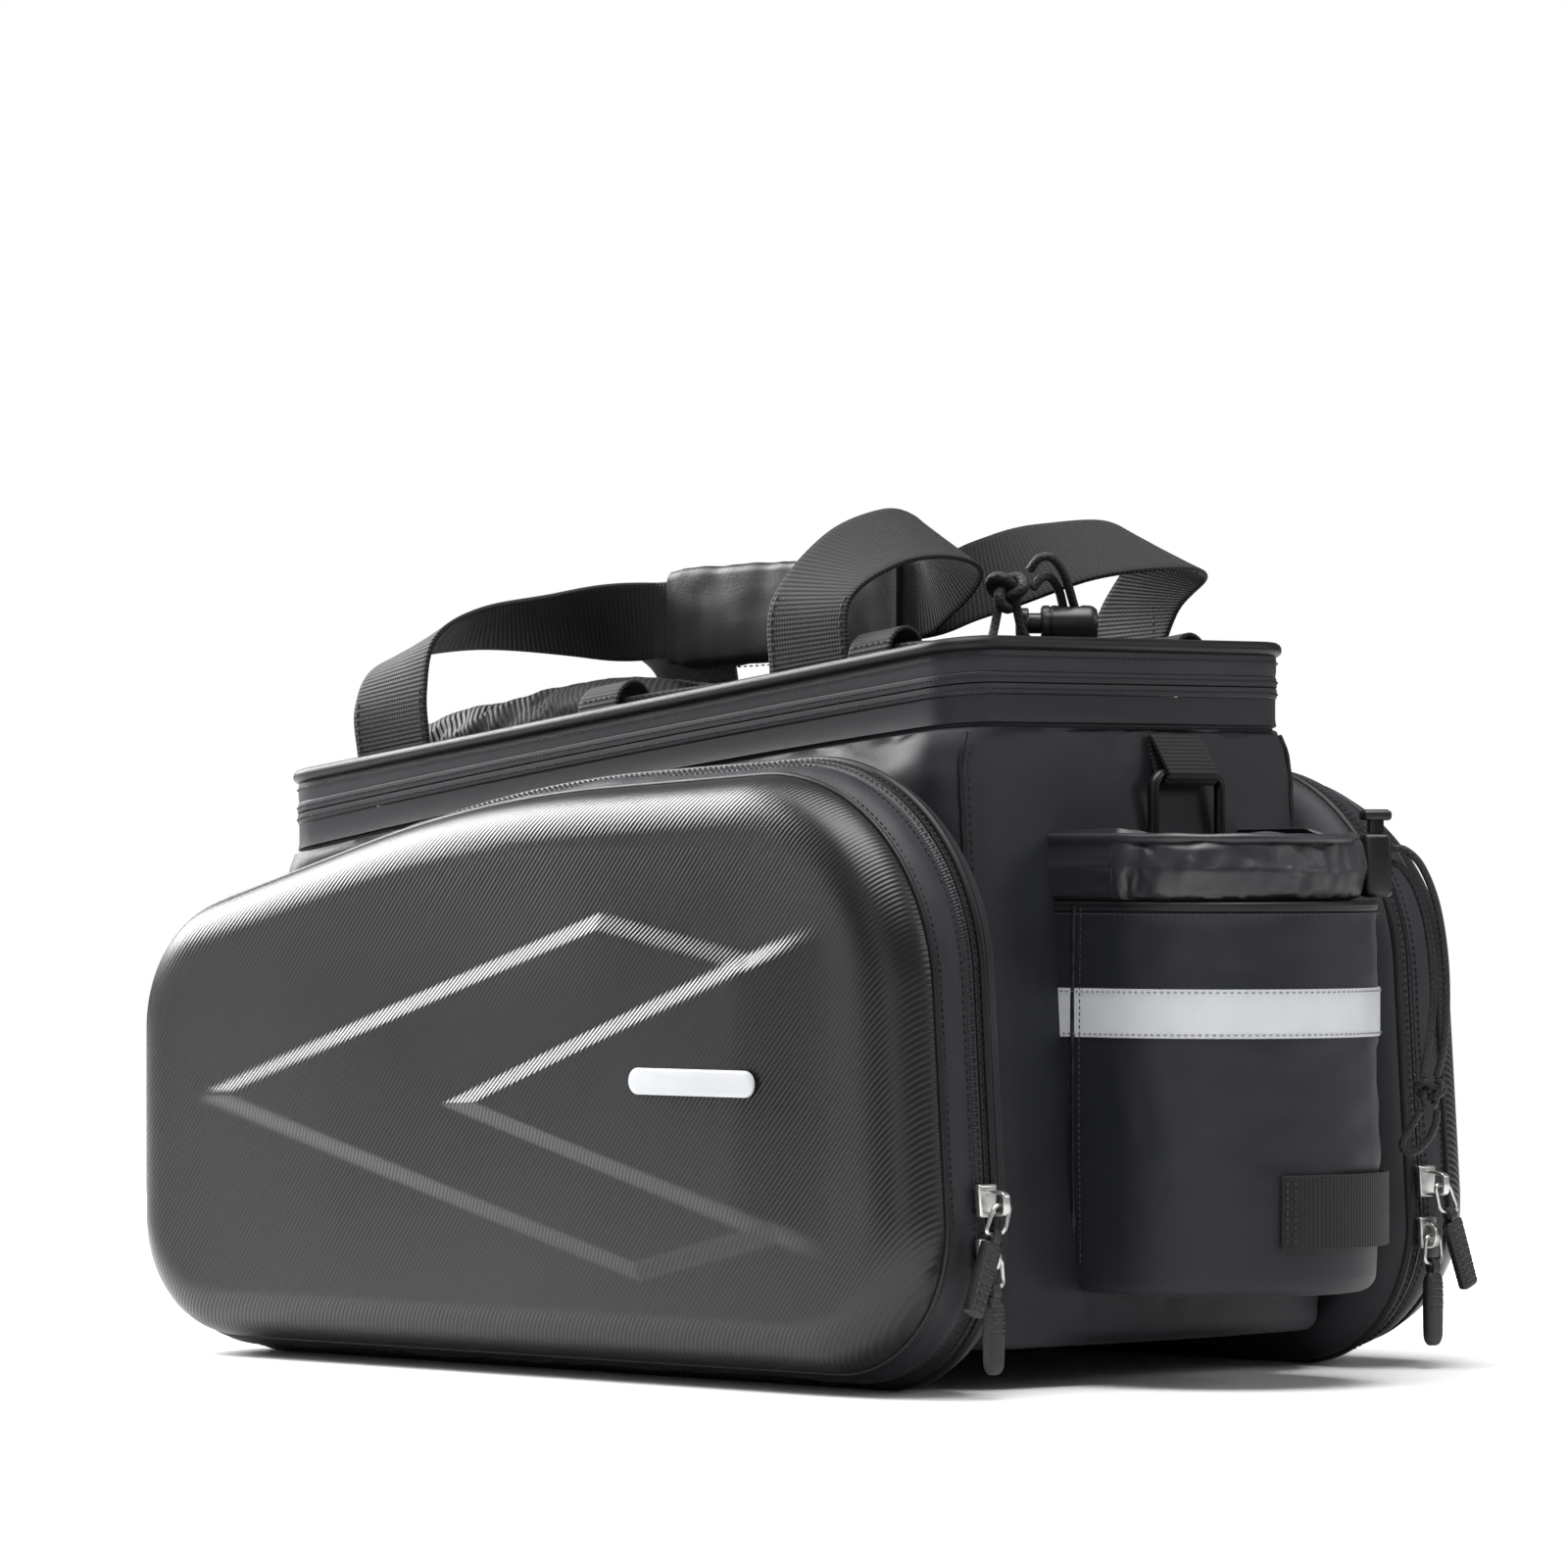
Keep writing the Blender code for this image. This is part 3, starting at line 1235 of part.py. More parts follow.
make_tub()
make_main_zip()
make_lid()
make_pannier_pieces()
for side_name, side in (("near", -1), ("far", 1)):
    pannier = f"pannier_{side_name}"
    for which, height, tilt, stand_off in (
        ("upper", SLIDER_UPPER_Z, UPPER_TILT, UPPER_STAND_OFF),
        ("lower", SLIDER_LOWER_Z, 0.0, 0.0),
    ):
        eye_at = make_slider(pannier, which, side * SLIDER_Y, height, stand_off)
        make_pull(pannier, which, eye_at, side * math.radians(tilt))
    make_handle(f"handle_{side_name}", -side)
    make_tab(f"tab_front_{side_name}", TAB_FRONT_X, side)
    make_tab(f"tab_rear_{side_name}", TAB_REAR_X, side)
make_wrap()
make_net()
make_bungee()
make_barrel_lock()
make_pocket()
make_collar()
make_pocket_trim()
make_drawcord_lock()
make_drawcord()
make_ring_strap()
make_ring()
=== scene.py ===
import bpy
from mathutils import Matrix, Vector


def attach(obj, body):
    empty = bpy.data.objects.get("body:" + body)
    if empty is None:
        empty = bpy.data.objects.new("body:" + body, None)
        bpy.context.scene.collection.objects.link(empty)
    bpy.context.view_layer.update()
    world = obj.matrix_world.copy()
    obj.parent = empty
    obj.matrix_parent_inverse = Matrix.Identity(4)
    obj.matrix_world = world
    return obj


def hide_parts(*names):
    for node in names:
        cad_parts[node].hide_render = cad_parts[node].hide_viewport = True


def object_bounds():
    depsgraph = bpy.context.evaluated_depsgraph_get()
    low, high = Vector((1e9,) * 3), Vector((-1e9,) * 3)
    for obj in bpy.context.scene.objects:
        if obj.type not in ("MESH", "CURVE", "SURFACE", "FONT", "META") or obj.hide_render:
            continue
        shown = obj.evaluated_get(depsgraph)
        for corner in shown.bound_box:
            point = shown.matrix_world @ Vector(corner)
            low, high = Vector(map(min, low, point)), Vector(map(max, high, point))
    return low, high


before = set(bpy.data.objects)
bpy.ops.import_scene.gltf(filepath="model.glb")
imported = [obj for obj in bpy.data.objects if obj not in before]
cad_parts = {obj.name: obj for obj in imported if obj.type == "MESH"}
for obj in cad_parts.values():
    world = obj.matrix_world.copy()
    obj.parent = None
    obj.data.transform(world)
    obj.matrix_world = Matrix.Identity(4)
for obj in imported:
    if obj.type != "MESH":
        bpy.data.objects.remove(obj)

"""Dresses the bicycle trunk bag in its cloth, shells, webbing, zips and cords, and sets it in a pale studio.

Metres, +Z up. +X points to the bicycle's rear and -Y to its near side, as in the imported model.
"""

import math

import bpy
import numpy as np
from mathutils import Matrix, Vector

CAD_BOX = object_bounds()
GAP = 0.0003
TAU = math.tau

# Camera: how far it stands from the bag's middle, how far it is moved aside, and its height
CAMERA_AWAY, CAMERA_ASIDE, CAMERA_HEIGHT = 2.984, 0.0025, 0.174
CAMERA_LENS, CAMERA_SENSOR, CAMERA_SHIFT = 190.9, 36.0, 0.03125

# Walls of the sewn pieces
BODY_WALL, TAPE_WALL, PANNIER_WALL = 0.003, 0.0025, 0.002
SLEEVE_WALL, NET_WALL, SATIN_WALL, STRIP_WALL = 0.0022, 0.0009, 0.0009, 0.0008

# Main compartment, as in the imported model
LID_LENGTH, LID_WIDTH, PLAN_CORNER = 0.346, 0.168, 0.016
SEAM_FRONT, SEAM_REAR, SEAM_ARCH = 0.166, 0.211, 0.003
LID_FRONT, LID_REAR, LID_CROWN, LID_EDGE = 0.194, 0.239, 0.005, 0.0035
ZIP_WIDTH, FLARE, FLARE_DROP = 0.008, 0.006, 0.019
REAR_SLANT, REAR_BOW, BASE_EDGE = 0.014, 0.006, 0.006
HALF_LENGTH, HALF_WIDTH = LID_LENGTH / 2, LID_WIDTH / 2
BODY_HALF = HALF_WIDTH + FLARE

# Side panniers
PANNIER_REAR, PANNIER_FRONT, PANNIER_BOTTOM = 0.2105, -0.188, -0.007
PANNIER_REAR_HEIGHT, PANNIER_BEND_HEIGHT, PANNIER_BEND_X = 0.2045, 0.1925, -0.018
PANNIER_FRONT_HEIGHT, PANNIER_REAR_LEAN = 0.1474, 0.0145
BACK_GUSSET, FRONT_GUSSET = 0.015, 0.022
SHELL_DEPTH, SHELL_ROUNDING, SHELL_CROWN = 0.019, 0.018, 0.0025
PIPING_RADIUS, PIPING_GROW, PIPING_GROW_ENDS = 0.0018, 0.0055, 0.0015
PIPING_PROUD, BACK_INSET, PANNIER_ZIP_WIDTH = 0.0012, 0.012, 0.006
PIPING_Y = BODY_HALF + BACK_GUSSET
SHELL_SEAM_Y = PIPING_Y + FRONT_GUSSET
PANNIER_ZIP_Y = PIPING_Y + PIPING_RADIUS + GAP + PANNIER_ZIP_WIDTH / 2

# Raised arrow panels, as shares of the pannier's length and rear height
PANEL_RISE, PANEL_BEVEL = 0.0022, 0.006
ARROW_TIP, ARROW_UP, ARROW_LOW = (0.095, 0.425), (0.627, 0.753), (0.675, 0.142)
INNER_TIP, INNER_UP, INNER_LOW = (0.434, 0.425), (0.886, 0.741), (0.886, 0.194)
ARROW_UP_END, ARROW_LOW_END = (0.810516, 0.688), (0.841, 0.217)
PANEL_FADE_X, PANEL_FADE = 0.128, 0.045

# Plain reflective bar on the near shell
BAR_X, BAR_Z, BAR_HALF_LENGTH, BAR_HALF_HEIGHT = 0.112, 0.090, 0.030, 0.0045

# Bottle pocket and collar
POCKET_RADIUS, POCKET_X, POCKET_Y = 0.053, 0.2085, 0.006
POCKET_BOTTOM, POCKET_TOP, POCKET_EDGE = 0.018, 0.150, 0.006
COLLAR_RADIUS, COLLAR_X, COLLAR_Y, COLLAR_TOP = 0.049, 0.206, 0.003, 0.174
STRIP_LOW, STRIP_HEIGHT = 0.105, 0.0165
LOOP_LOW, LOOP_HEIGHT, LOOP_FIRST, LOOP_LAST = 0.034, 0.025, -26.0, 62.0
POCKET_OFF_WALL, COLLAR_HELD_X = 0.0006, 0.181

# Zip sliders and pulls
SLIDER_WIDTH, SLIDER_LENGTH, SLIDER_THICK = 0.009, 0.011, 0.003
BRIDGE_REACH, BRIDGE_DROP = 0.0035, 0.0011
PULL_RING_WIDTH, PULL_RING_LENGTH, PULL_RING_WIRE = 0.0095, 0.0095, 0.0007
GRIP_WIDTH, GRIP_LENGTH, GRIP_THICK, LUG_LENGTH = 0.0085, 0.026, 0.004, 0.0022
SLIDER_Y = PIPING_Y + PIPING_RADIUS + GAP + SLIDER_WIDTH / 2

# Top of the lid
NET_FRONT, NET_REAR, NET_HALF_WIDTH, NET_RISE = -0.150, -0.038, 0.056, 0.015
TAB_WIDTH, TAB_SPAN, TAB_RISE, TAB_THICK = 0.020, 0.016, 0.009, 0.0014
TAB_FRONT_X, TAB_REAR_X, TAB_Y, TAB_STEPS = -0.009, 0.125, 0.0724, 28
BUNGEE_RADIUS, DRAWCORD_RADIUS = 0.0016, 0.0013
BUNGEE_KNOT, BARREL_AT = (0.112, 0.002, 0.259), (0.1215, 0.0235, 0.2475)
BARREL_HALF, BARREL_RADIUS, BARREL_BORE, LOCK_SLIDE = 0.010, 0.0063, 0.0042, 0.004
HANDLE_WIDTH, HANDLE_THICK, HANDLE_RISE, GRIP_GAP = 0.038, 0.0018, 0.045, 0.0011
WRAP_START, WRAP_END, HANDLE_STEPS = -0.050, 0.066, 10

# Cord lock on the collar
LOCK_ANGLE, LOCK_LOW, LOCK_HIGH = 50.0, 0.152, 0.174

# Wire ring on the rear wall and its webbing loop
RING_X, RING_Y, RING_Z, RING_WIRE = 0.181, 0.019, 0.194, 0.002
RING_HALF_WIDTH, RING_DROP, RING_CORNER = 0.017, 0.028, 0.005
RING_LOOP_TOP, RING_LOOP_WIDTH, RING_LOOP_THICK = 0.207, 0.025, 0.0014

# Each handle from foot to foot: shares along half the lid, outwards and up, the webbing's way and width.
HANDLE_ROWS = (
    (-0.682, 0.906, 0.025, 1.00, 0.00, 0.13, 1.00),
    (-0.685, 0.921, 0.47, 1.00, 0.00, 0.15, 1.00),
    (-0.675, 0.836, 0.85, 0.95, -0.15, 0.25, 1.00),
    (-0.600, 0.596, 1.00, 0.75, -0.55, 0.35, 1.00),
    (-0.480, 0.306, 0.98, 0.45, -0.60, 0.60, 0.90),
    (-0.370, 0.046, 0.95, 0.10, -0.20, 1.00, 0.76),
    (-0.300, 0.000, 0.93, 0.00, 0.00, 1.00, 0.72),
    (0.000, 0.000, 0.82, 0.00, 0.00, 1.00, 0.72),
    (0.395, 0.000, 0.68, 0.00, 0.00, 1.00, 0.72),
    (0.500, 0.070, 0.80, -0.35, -0.18, 0.90, 0.78),
    (0.595, 0.196, 0.98, -0.75, -0.15, 0.55, 0.92),
    (0.630, 0.456, 1.04, -0.88, 0.00, 0.45, 1.00),
    (0.605, 0.726, 0.92, -0.95, 0.00, 0.28, 1.00),
    (0.545, 0.896, 0.56, -1.00, 0.00, 0.00, 1.00),
    (0.543, 0.906, 0.025, -1.00, 0.00, -0.13, 1.00),
)

# How far the far handle's rear loop leans out and back
FAR_LEAN = (0.013, 0.020, -0.002)

# The bungee's route: x as a share of half the lid's length, y, and the height above the lid.
BUNGEE_ROUTE = (
    (0.6387, -0.0002, 0.0220), (0.6387, -0.0040, 0.0090), (0.6647, -0.0120, 0.0032),
    (0.7283, -0.0300, 0.0024), (0.7919, -0.0500, 0.0024), (0.8208, -0.0650, 0.0026),
    (0.7919, -0.0735, 0.0028), (0.7225, -0.0745, 0.0028), (0.6474, -0.0720, 0.0028),
    (0.5318, -0.0560, 0.0024), (0.3353, 0.0000, 0.0022), (0.1387, 0.0530, 0.0024),
    (0.0462, 0.0700, 0.0028), (-0.0520, 0.0745, 0.0028), (-0.1387, 0.0700, 0.0026),
    (-0.1792, 0.0520, 0.0024), (-0.1850, 0.0180, 0.0024), (-0.1850, -0.0180, 0.0024),
    (-0.1792, -0.0520, 0.0024), (-0.1387, -0.0700, 0.0026), (-0.0520, -0.0745, 0.0028),
    (0.0462, -0.0700, 0.0028), (0.1387, -0.0530, 0.0026), (0.2428, -0.0250, 0.0034),
    (0.3353, 0.0000, 0.0060), (0.4277, 0.0270, 0.0034), (0.5318, 0.0560, 0.0026),
    (0.6474, 0.0720, 0.0028), (0.7225, 0.0745, 0.0028), (0.7919, 0.0735, 0.0028),
    (0.8208, 0.0650, 0.0026), (0.7919, 0.0500, 0.0024), (0.7399, 0.0320, 0.0024),
    (0.6879, 0.0150, 0.0032), (0.6647, 0.0075, 0.0090), (0.6560, 0.0040, 0.0220),
)
BUNGEE_TAILS = {
    "a": ((0.1175, 0.0075, 0.2660), (0.1208, 0.0090, 0.2700), (0.1236, 0.0125, 0.2700),
          (0.1240, 0.0185, 0.2640), (0.1228, 0.0248, 0.2530)),
    "b": ((0.1185, 0.0080, 0.2595), (0.1200, 0.0105, 0.2630), (0.1206, 0.0145, 0.2635),
          (0.1202, 0.0195, 0.2590), (0.1200, 0.0220, 0.2530)),
}

# The drawcord's route from its lock down to the knot, and the loop below.
DRAWCORD_KNOT = (0.2568, 0.0592, 0.0855)
DRAWCORD_TAILS = {
    "a": ((0.2478, 0.0498, 0.1690), (0.2512, 0.0532, 0.1680), (0.2550, 0.0570, 0.1625),
          (0.2585, 0.0605, 0.1500), (0.2605, 0.0625, 0.1330), (0.2610, 0.0630, 0.1160),
          (0.2598, 0.0630, 0.1010), (0.2573, 0.0622, 0.0908)),
    "b": ((0.2465, 0.0515, 0.1640), (0.2490, 0.0540, 0.1620), (0.2523, 0.0570, 0.1550),
          (0.2548, 0.0595, 0.1440), (0.2562, 0.0608, 0.1300), (0.2566, 0.0610, 0.1150),
          (0.2564, 0.0585, 0.1010), (0.2563, 0.0562, 0.0908)),
}
DRAWCORD_END = (
    (0.2545, 0.0565, 0.0790), (0.2520, 0.0545, 0.0730), (0.2500, 0.0530, 0.0690),
    (0.2500, 0.0535, 0.0655), (0.2530, 0.0560, 0.0650), (0.2560, 0.0590, 0.0690),
    (0.2580, 0.0605, 0.0740), (0.2585, 0.0610, 0.0790),
)

SCENE = bpy.context.scene


# Shapes of the bag

def along_lid(x, at_front, at_rear):
    return at_front + (at_rear - at_front) * (x / LID_LENGTH + 0.5)


def seam_height(x):
    return along_lid(x, SEAM_FRONT, SEAM_REAR) + SEAM_ARCH * (1 - (x / HALF_LENGTH) ** 2)


def lid_edge(x):
    return along_lid(x, LID_FRONT, LID_REAR)


def zip_height(x):
    return (seam_height(x) + lid_edge(x)) / 2


def lid_surface(x, y):
    crown = LID_CROWN * max(0.0, 1 - (x / HALF_LENGTH) ** 2) * max(0.0, 1 - (y / HALF_WIDTH) ** 2)
    return lid_edge(x) + crown


def rear_wall(y, z):
    share = 1 - z / SEAM_REAR
    return HALF_LENGTH + share * (REAR_SLANT + REAR_BOW * (1 - (y / BODY_HALF) ** 2))


def rounded_outline(corners, inset=0.0):
    """Points of an anticlockwise outline. A corner is (u, v, radius, arc steps, steps of the next edge)."""
    places = [Vector(corner[:2]) for corner in corners]
    count = len(corners)
    arcs = []
    for index, (_, _, radius, steps, _) in enumerate(corners):
        before, here, after = places[index - 1], places[index], places[(index + 1) % count]
        into, out = (here - before).normalized(), (after - here).normalized()
        turn = -into.angle_signed(out)
        inward = Vector((-into.y, into.x))
        corner = here + (inward + Vector((-out.y, out.x))) * inset / (1 + into.dot(out))
        bend = max(radius - inset, 0.002)
        centre = corner - into * bend * math.tan(turn / 2) + inward * bend
        turns = [Matrix.Rotation(turn * step / steps, 2) for step in range(steps + 1)]
        arcs.append([centre - rotation @ inward * bend for rotation in turns])
    points = []
    for index, arc in enumerate(arcs):
        points += arc
        sides, first, last = corners[index][4], arc[-1], arcs[(index + 1) % count][0]
        points += [first.lerp(last, step / sides) for step in range(1, sides)]
    return np.array([tuple(point) for point in points])


def plan_ring(height, rear, half_width, bow=0.0, inset=0.0):
    """A ring of the main body, anticlockwise from above. height gives z at each x."""
    corners = (
        (rear, -half_width, PLAN_CORNER, 10, 36), (rear, half_width, PLAN_CORNER, 10, 70),
        (-HALF_LENGTH, half_width, PLAN_CORNER, 10, 36), (-HALF_LENGTH, -half_width, PLAN_CORNER, 10, 70),
    )
    ring = rounded_outline(corners, inset)
    x = ring[:, 0] + np.where(ring[:, 0] > 0, bow * (1 - (ring[:, 1] / half_width) ** 2), 0)
    return np.stack([x, ring[:, 1], [height(at) for at in x]], 1)


def body_ring(height, share, inset=0.0, flare=FLARE):
    rear = HALF_LENGTH + REAR_SLANT * (1 - share)
    return plan_ring(height, rear, HALF_WIDTH + flare, REAR_BOW * (1 - share), inset)


def lid_ring(height, inset=0.0):
    return plan_ring(height, HALF_LENGTH, HALF_WIDTH, inset=inset)


def pannier_ring(distance, inset=0.0):
    """The near pannier's outline at a distance from the bag's middle plane, anticlockwise from outside."""
    grow = min(1.0, (SHELL_SEAM_Y - distance) / FRONT_GUSSET)
    wide, tall = grow * PIPING_GROW_ENDS, grow * PIPING_GROW
    rear, front, low = PANNIER_REAR + wide, PANNIER_FRONT - wide, PANNIER_BOTTOM - tall
    corners = (
        (rear, low, 0.050, 26, 34),
        (rear - PANNIER_REAR_LEAN, PANNIER_BOTTOM + PANNIER_REAR_HEIGHT + tall, 0.076, 40, 24),
        (PANNIER_BEND_X, PANNIER_BOTTOM + PANNIER_BEND_HEIGHT + tall, 0.625, 30, 40),
        (front, PANNIER_BOTTOM + PANNIER_FRONT_HEIGHT + tall, 0.048, 26, 26),
        (front, low, 0.042, 26, 90),
    )
    ring = rounded_outline(corners, inset)
    return np.stack([ring[:, 0], np.full(len(ring), -distance), ring[:, 1]], 1)


def pocket_ring(z, radius, centre_x, centre_y, out=0.0, back=True, steps=90):
    """A D in plan: from the rear wall out, round the front, and back to the wall, anticlockwise."""
    reach = radius + out
    angles = math.pi * (np.arange(steps + 1) / steps - 0.5)
    front = [(centre_x + reach * math.cos(angle), centre_y + reach * math.sin(angle)) for angle in angles]
    at_wall = [(rear_wall(y, z) + POCKET_OFF_WALL, y)
               for y in centre_y + reach * np.array([-1, 1, *(np.linspace(0.9, -0.9, 19) if back else ())])]
    return np.array([(x, y, z) for x, y in (at_wall[0], *front, *at_wall[1:])])


def smooth_rows(rows, steps):
    """More rows of numbers, read from a smooth curve through the given ones."""
    rows = np.asarray(rows, float)
    ends = np.concatenate([[rows[0] * 2 - rows[1]], rows, [rows[-1] * 2 - rows[-2]]])
    found = []
    for a, b, c, d in zip(ends, ends[1:], ends[2:], ends[3:]):
        for share in np.arange(steps) / steps:
            found.append((b * 2 + (c - a) * share + (a * 2 - b * 5 + c * 4 - d) * share**2
                          + (b * 3 - a - c * 3 + d) * share**3) / 2)
    return np.array([*found, rows[-1]])


def distances_along(line):
    """How far along a line of points each of them lies."""
    return np.concatenate([[0], np.cumsum(np.linalg.norm(np.diff(line, axis=0), axis=1))])


def read_line(at, reach, rows):
    """Rows of numbers read at these distances."""
    return np.stack([np.interp(at, reach, column) for column in rows.T], 1)


def even_route(points, spacing, closed=False):
    """Points about as far apart as spacing, along a smooth curve through the given ones."""
    points = np.asarray(points, float)
    if closed:
        points = np.concatenate([points, points[:1]])
    fine = smooth_rows(points, 12)
    reach = distances_along(fine)
    count = max(3, round(reach[-1] / spacing))
    found = read_line(np.linspace(0, reach[-1], count + 1), reach, fine)
    return found[:-1] if closed else found


def read_even(outline, count):
    """The same closed outline with its points evenly spaced."""
    closed = np.concatenate([outline, outline[:1]])
    reach = distances_along(closed)
    return read_line(np.linspace(0, reach[-1], count + 1)[:-1], reach, closed)


def outwards(ring, across=1):
    """Outward normals of an anticlockwise ring, in plan, or in the side view where across is 2."""
    ahead = np.gradient(ring, axis=0)
    out = np.zeros_like(ring)
    out[:, 0], out[:, across] = ahead[:, across], -ahead[:, 0]
    return out / np.maximum(np.linalg.norm(out, axis=1), 1e-9)[:, None]


def closed_line(ring, across=1):
    """A ring as a line that ends where it starts, with its outward normals."""
    line = np.concatenate([ring, ring[:1]])
    return line, outwards(line, across)


def knot_points(centre, size, count=90):
    """A trefoil, which is how a tightened overhand knot lies."""
    angle = np.arange(count) * TAU / count
    across = np.sin(angle) + 2 * np.sin(2 * angle)
    tall = np.cos(angle) - 2 * np.cos(2 * angle)
    deep = -np.sin(3 * angle) * 1.15
    turned = np.stack([(across - deep) * math.sqrt(0.5), (across + deep) * math.sqrt(0.5), tall], 1)
    return np.array(centre) + turned * size


# Making pieces

def activate(*pieces):
    bpy.ops.object.select_all(action="DESELECT")
    for piece in pieces:
        piece.select_set(True)
    bpy.context.view_layer.objects.active = pieces[0]


def points_of(piece):
    flat = np.empty(len(piece.data.vertices) * 3)
    piece.data.vertices.foreach_get("co", flat)
    return flat.reshape(-1, 3)


def set_points(piece, points):
    piece.data.vertices.foreach_set("co", np.ascontiguousarray(points, float).ravel())
    piece.data.update()


def normals_of(piece):
    flat = np.empty(len(piece.data.vertices) * 3)
    piece.data.vertex_normals.foreach_get("vector", flat)
    return flat.reshape(-1, 3)


def swell(piece, heights):
    """Moves each point along its normal by its own height."""
    set_points(piece, points_of(piece) + normals_of(piece) * np.asarray(heights)[:, None])


def in_edit_mode(piece, *steps):
    """Runs edit operators on all of a piece."""
    activate(piece)
    bpy.ops.object.mode_set(mode="EDIT")
    bpy.ops.mesh.select_all(action="SELECT")
    for operator, settings in steps:
        operator(**settings)
    bpy.ops.object.mode_set(mode="OBJECT")


def apply_modifier(piece, kind, **settings):
    modifier = piece.modifiers.new(kind.title(), kind)
    for name, value in settings.items():
        setattr(modifier, name, value)
    activate(piece)
    bpy.ops.object.modifier_apply(modifier=modifier.name)


def add_wall(piece, thickness, offset=-1.0):
    apply_modifier(piece, "SOLIDIFY", thickness=thickness, offset=offset, use_even_offset=False)


def skin(name, rings, round_rings=True, round_rows=False, outside=None, uv=None):
    """A grid primitive laid through rings of points. Its UV map is in metres along and across the rings."""
    rings = np.asarray(rings, float)
    if round_rings:
        rings = np.concatenate([rings, rings[:, :1]], axis=1)
    if round_rows:
        rings = np.concatenate([rings, rings[:1]])
    rows, columns = rings.shape[0] - 1, rings.shape[1] - 1
    bpy.ops.object.select_all(action="DESELECT")
    bpy.ops.mesh.primitive_grid_add(x_subdivisions=columns, y_subdivisions=rows, size=1.0)
    piece = bpy.context.object
    piece.name = piece.data.name = name
    grid = points_of(piece)
    column = np.rint((grid[:, 0] + 0.5) * columns).astype(int)
    row = np.rint((grid[:, 1] + 0.5) * rows).astype(int)
    set_points(piece, rings[row, column])
    across = np.concatenate([[0], np.cumsum(np.linalg.norm(np.diff(rings, axis=1), axis=2).max(0))])
    up = np.concatenate([[0], np.cumsum(np.linalg.norm(np.diff(rings, axis=0), axis=2).mean(1))])
    loops = np.empty(len(piece.data.loops), np.int32)
    piece.data.loops.foreach_get("vertex_index", loops)
    flat = np.stack([across[column[loops]], up[row[loops]]], 1)
    if uv is not None:
        flat = uv(rings[row[loops], column[loops]])
    piece.data.uv_layers[0].data.foreach_set("uv", flat.ravel())
    in_edit_mode(piece, (bpy.ops.mesh.remove_doubles, {"threshold": 0.000001}))
    turn_outwards(piece, outside)
    return piece


def turn_outwards(piece, inside):
    """Turns a piece's faces away from a point inside it, or, on a closed piece, just outwards."""
    if inside is None:
        in_edit_mode(piece, (bpy.ops.mesh.normals_make_consistent, {"inside": False}))
        return
    middle = Vector(inside)
    facing = sum((face.center - middle).dot(face.normal) * face.area for face in piece.data.polygons)
    if facing < 0:
        in_edit_mode(piece, (bpy.ops.mesh.flip_normals, {}))


def pole_rows(ring, shares, centre=None):
    """Rings that close a ring towards a point."""
    centre = ring.mean(0) if centre is None else np.array(centre)
    return [centre + (ring - centre) * share for share in shares]


def tube(name, line, radius, sides=12, closed=False, wobble=0.0):
    """A round cord or wire along a line of points, with its UVs in metres along and round it."""
    line = np.asarray(line, float)
    ahead = np.roll(line, -1, 0) - np.roll(line, 1, 0) if closed else np.gradient(line, axis=0)
    ahead /= np.linalg.norm(ahead, axis=1)[:, None]
    side = np.cross(ahead[0], (0.3, 0.2, 0.93))
    sideways = []
    for way in ahead:
        side = side - way * side.dot(way)
        side /= np.linalg.norm(side)
        sideways.append(side)
    sideways = np.array(sideways)
    up = np.cross(ahead, sideways)
    twist = np.zeros(len(line))
    if closed:
        # The last side is turned back to the first one, a little at each point.
        last = sideways[-1] - ahead[0] * sideways[-1].dot(ahead[0])
        gap = math.atan2(np.cross(sideways[0], last).dot(ahead[0]), sideways[0].dot(last))
        twist = -gap * np.arange(len(line)) / len(line)
    angle = np.arange(sides) * TAU / sides + twist[:, None]
    reach = radius * (1 + wobble * soft_noise(line, radius * 9, 5))[:, None]
    rings = (line[:, None] + sideways[:, None] * (np.cos(angle) * reach)[..., None]
             + up[:, None] * (np.sin(angle) * reach)[..., None])
    if not closed:
        caps = []
        for end, way in ((0, -ahead[0]), (-1, ahead[-1])):
            caps.append([line[end] + way * radius * out + (rings[end] - line[end]) * share
                         for out, share in ((0.35, 0.0), (0.25, 0.7))])
        rings = np.concatenate([caps[0], rings, caps[1][::-1]])
    return skin(name, rings, round_rows=closed)


def strap(name, centres, widths, thickness, across=10, round_path=False):
    """Flat webbing through its centres. Each width is the whole width, as a vector."""
    centres, widths = np.asarray(centres, float), np.asarray(widths, float)
    shares = np.linspace(-0.5, 0.5, across + 1)
    rings = centres[:, None] + widths[:, None] * shares[None, :, None]
    piece = skin(name, rings, round_rings=False, round_rows=round_path, outside=(0, 0, 0))
    add_wall(piece, thickness, offset=0.0)
    apply_modifier(piece, "BEVEL", width=thickness * 0.3, segments=2, limit_method="ANGLE", angle_limit=0.9)
    turn_outwards(piece, None)
    return piece


def block(name, size, matrix, edge, segments=3, cuts=0):
    """A box with rounded edges at its place."""
    bpy.ops.object.select_all(action="DESELECT")
    bpy.ops.mesh.primitive_cube_add(size=1.0)
    piece = bpy.context.object
    piece.name = piece.data.name = name
    set_points(piece, points_of(piece) * np.array(size))
    steps = [(bpy.ops.mesh.bevel, {"offset": edge, "segments": segments, "affect": "EDGES"})]
    if cuts:
        steps.append((bpy.ops.mesh.subdivide, {"number_cuts": cuts}))
    in_edit_mode(piece, *steps)
    piece.data.transform(matrix)
    return piece


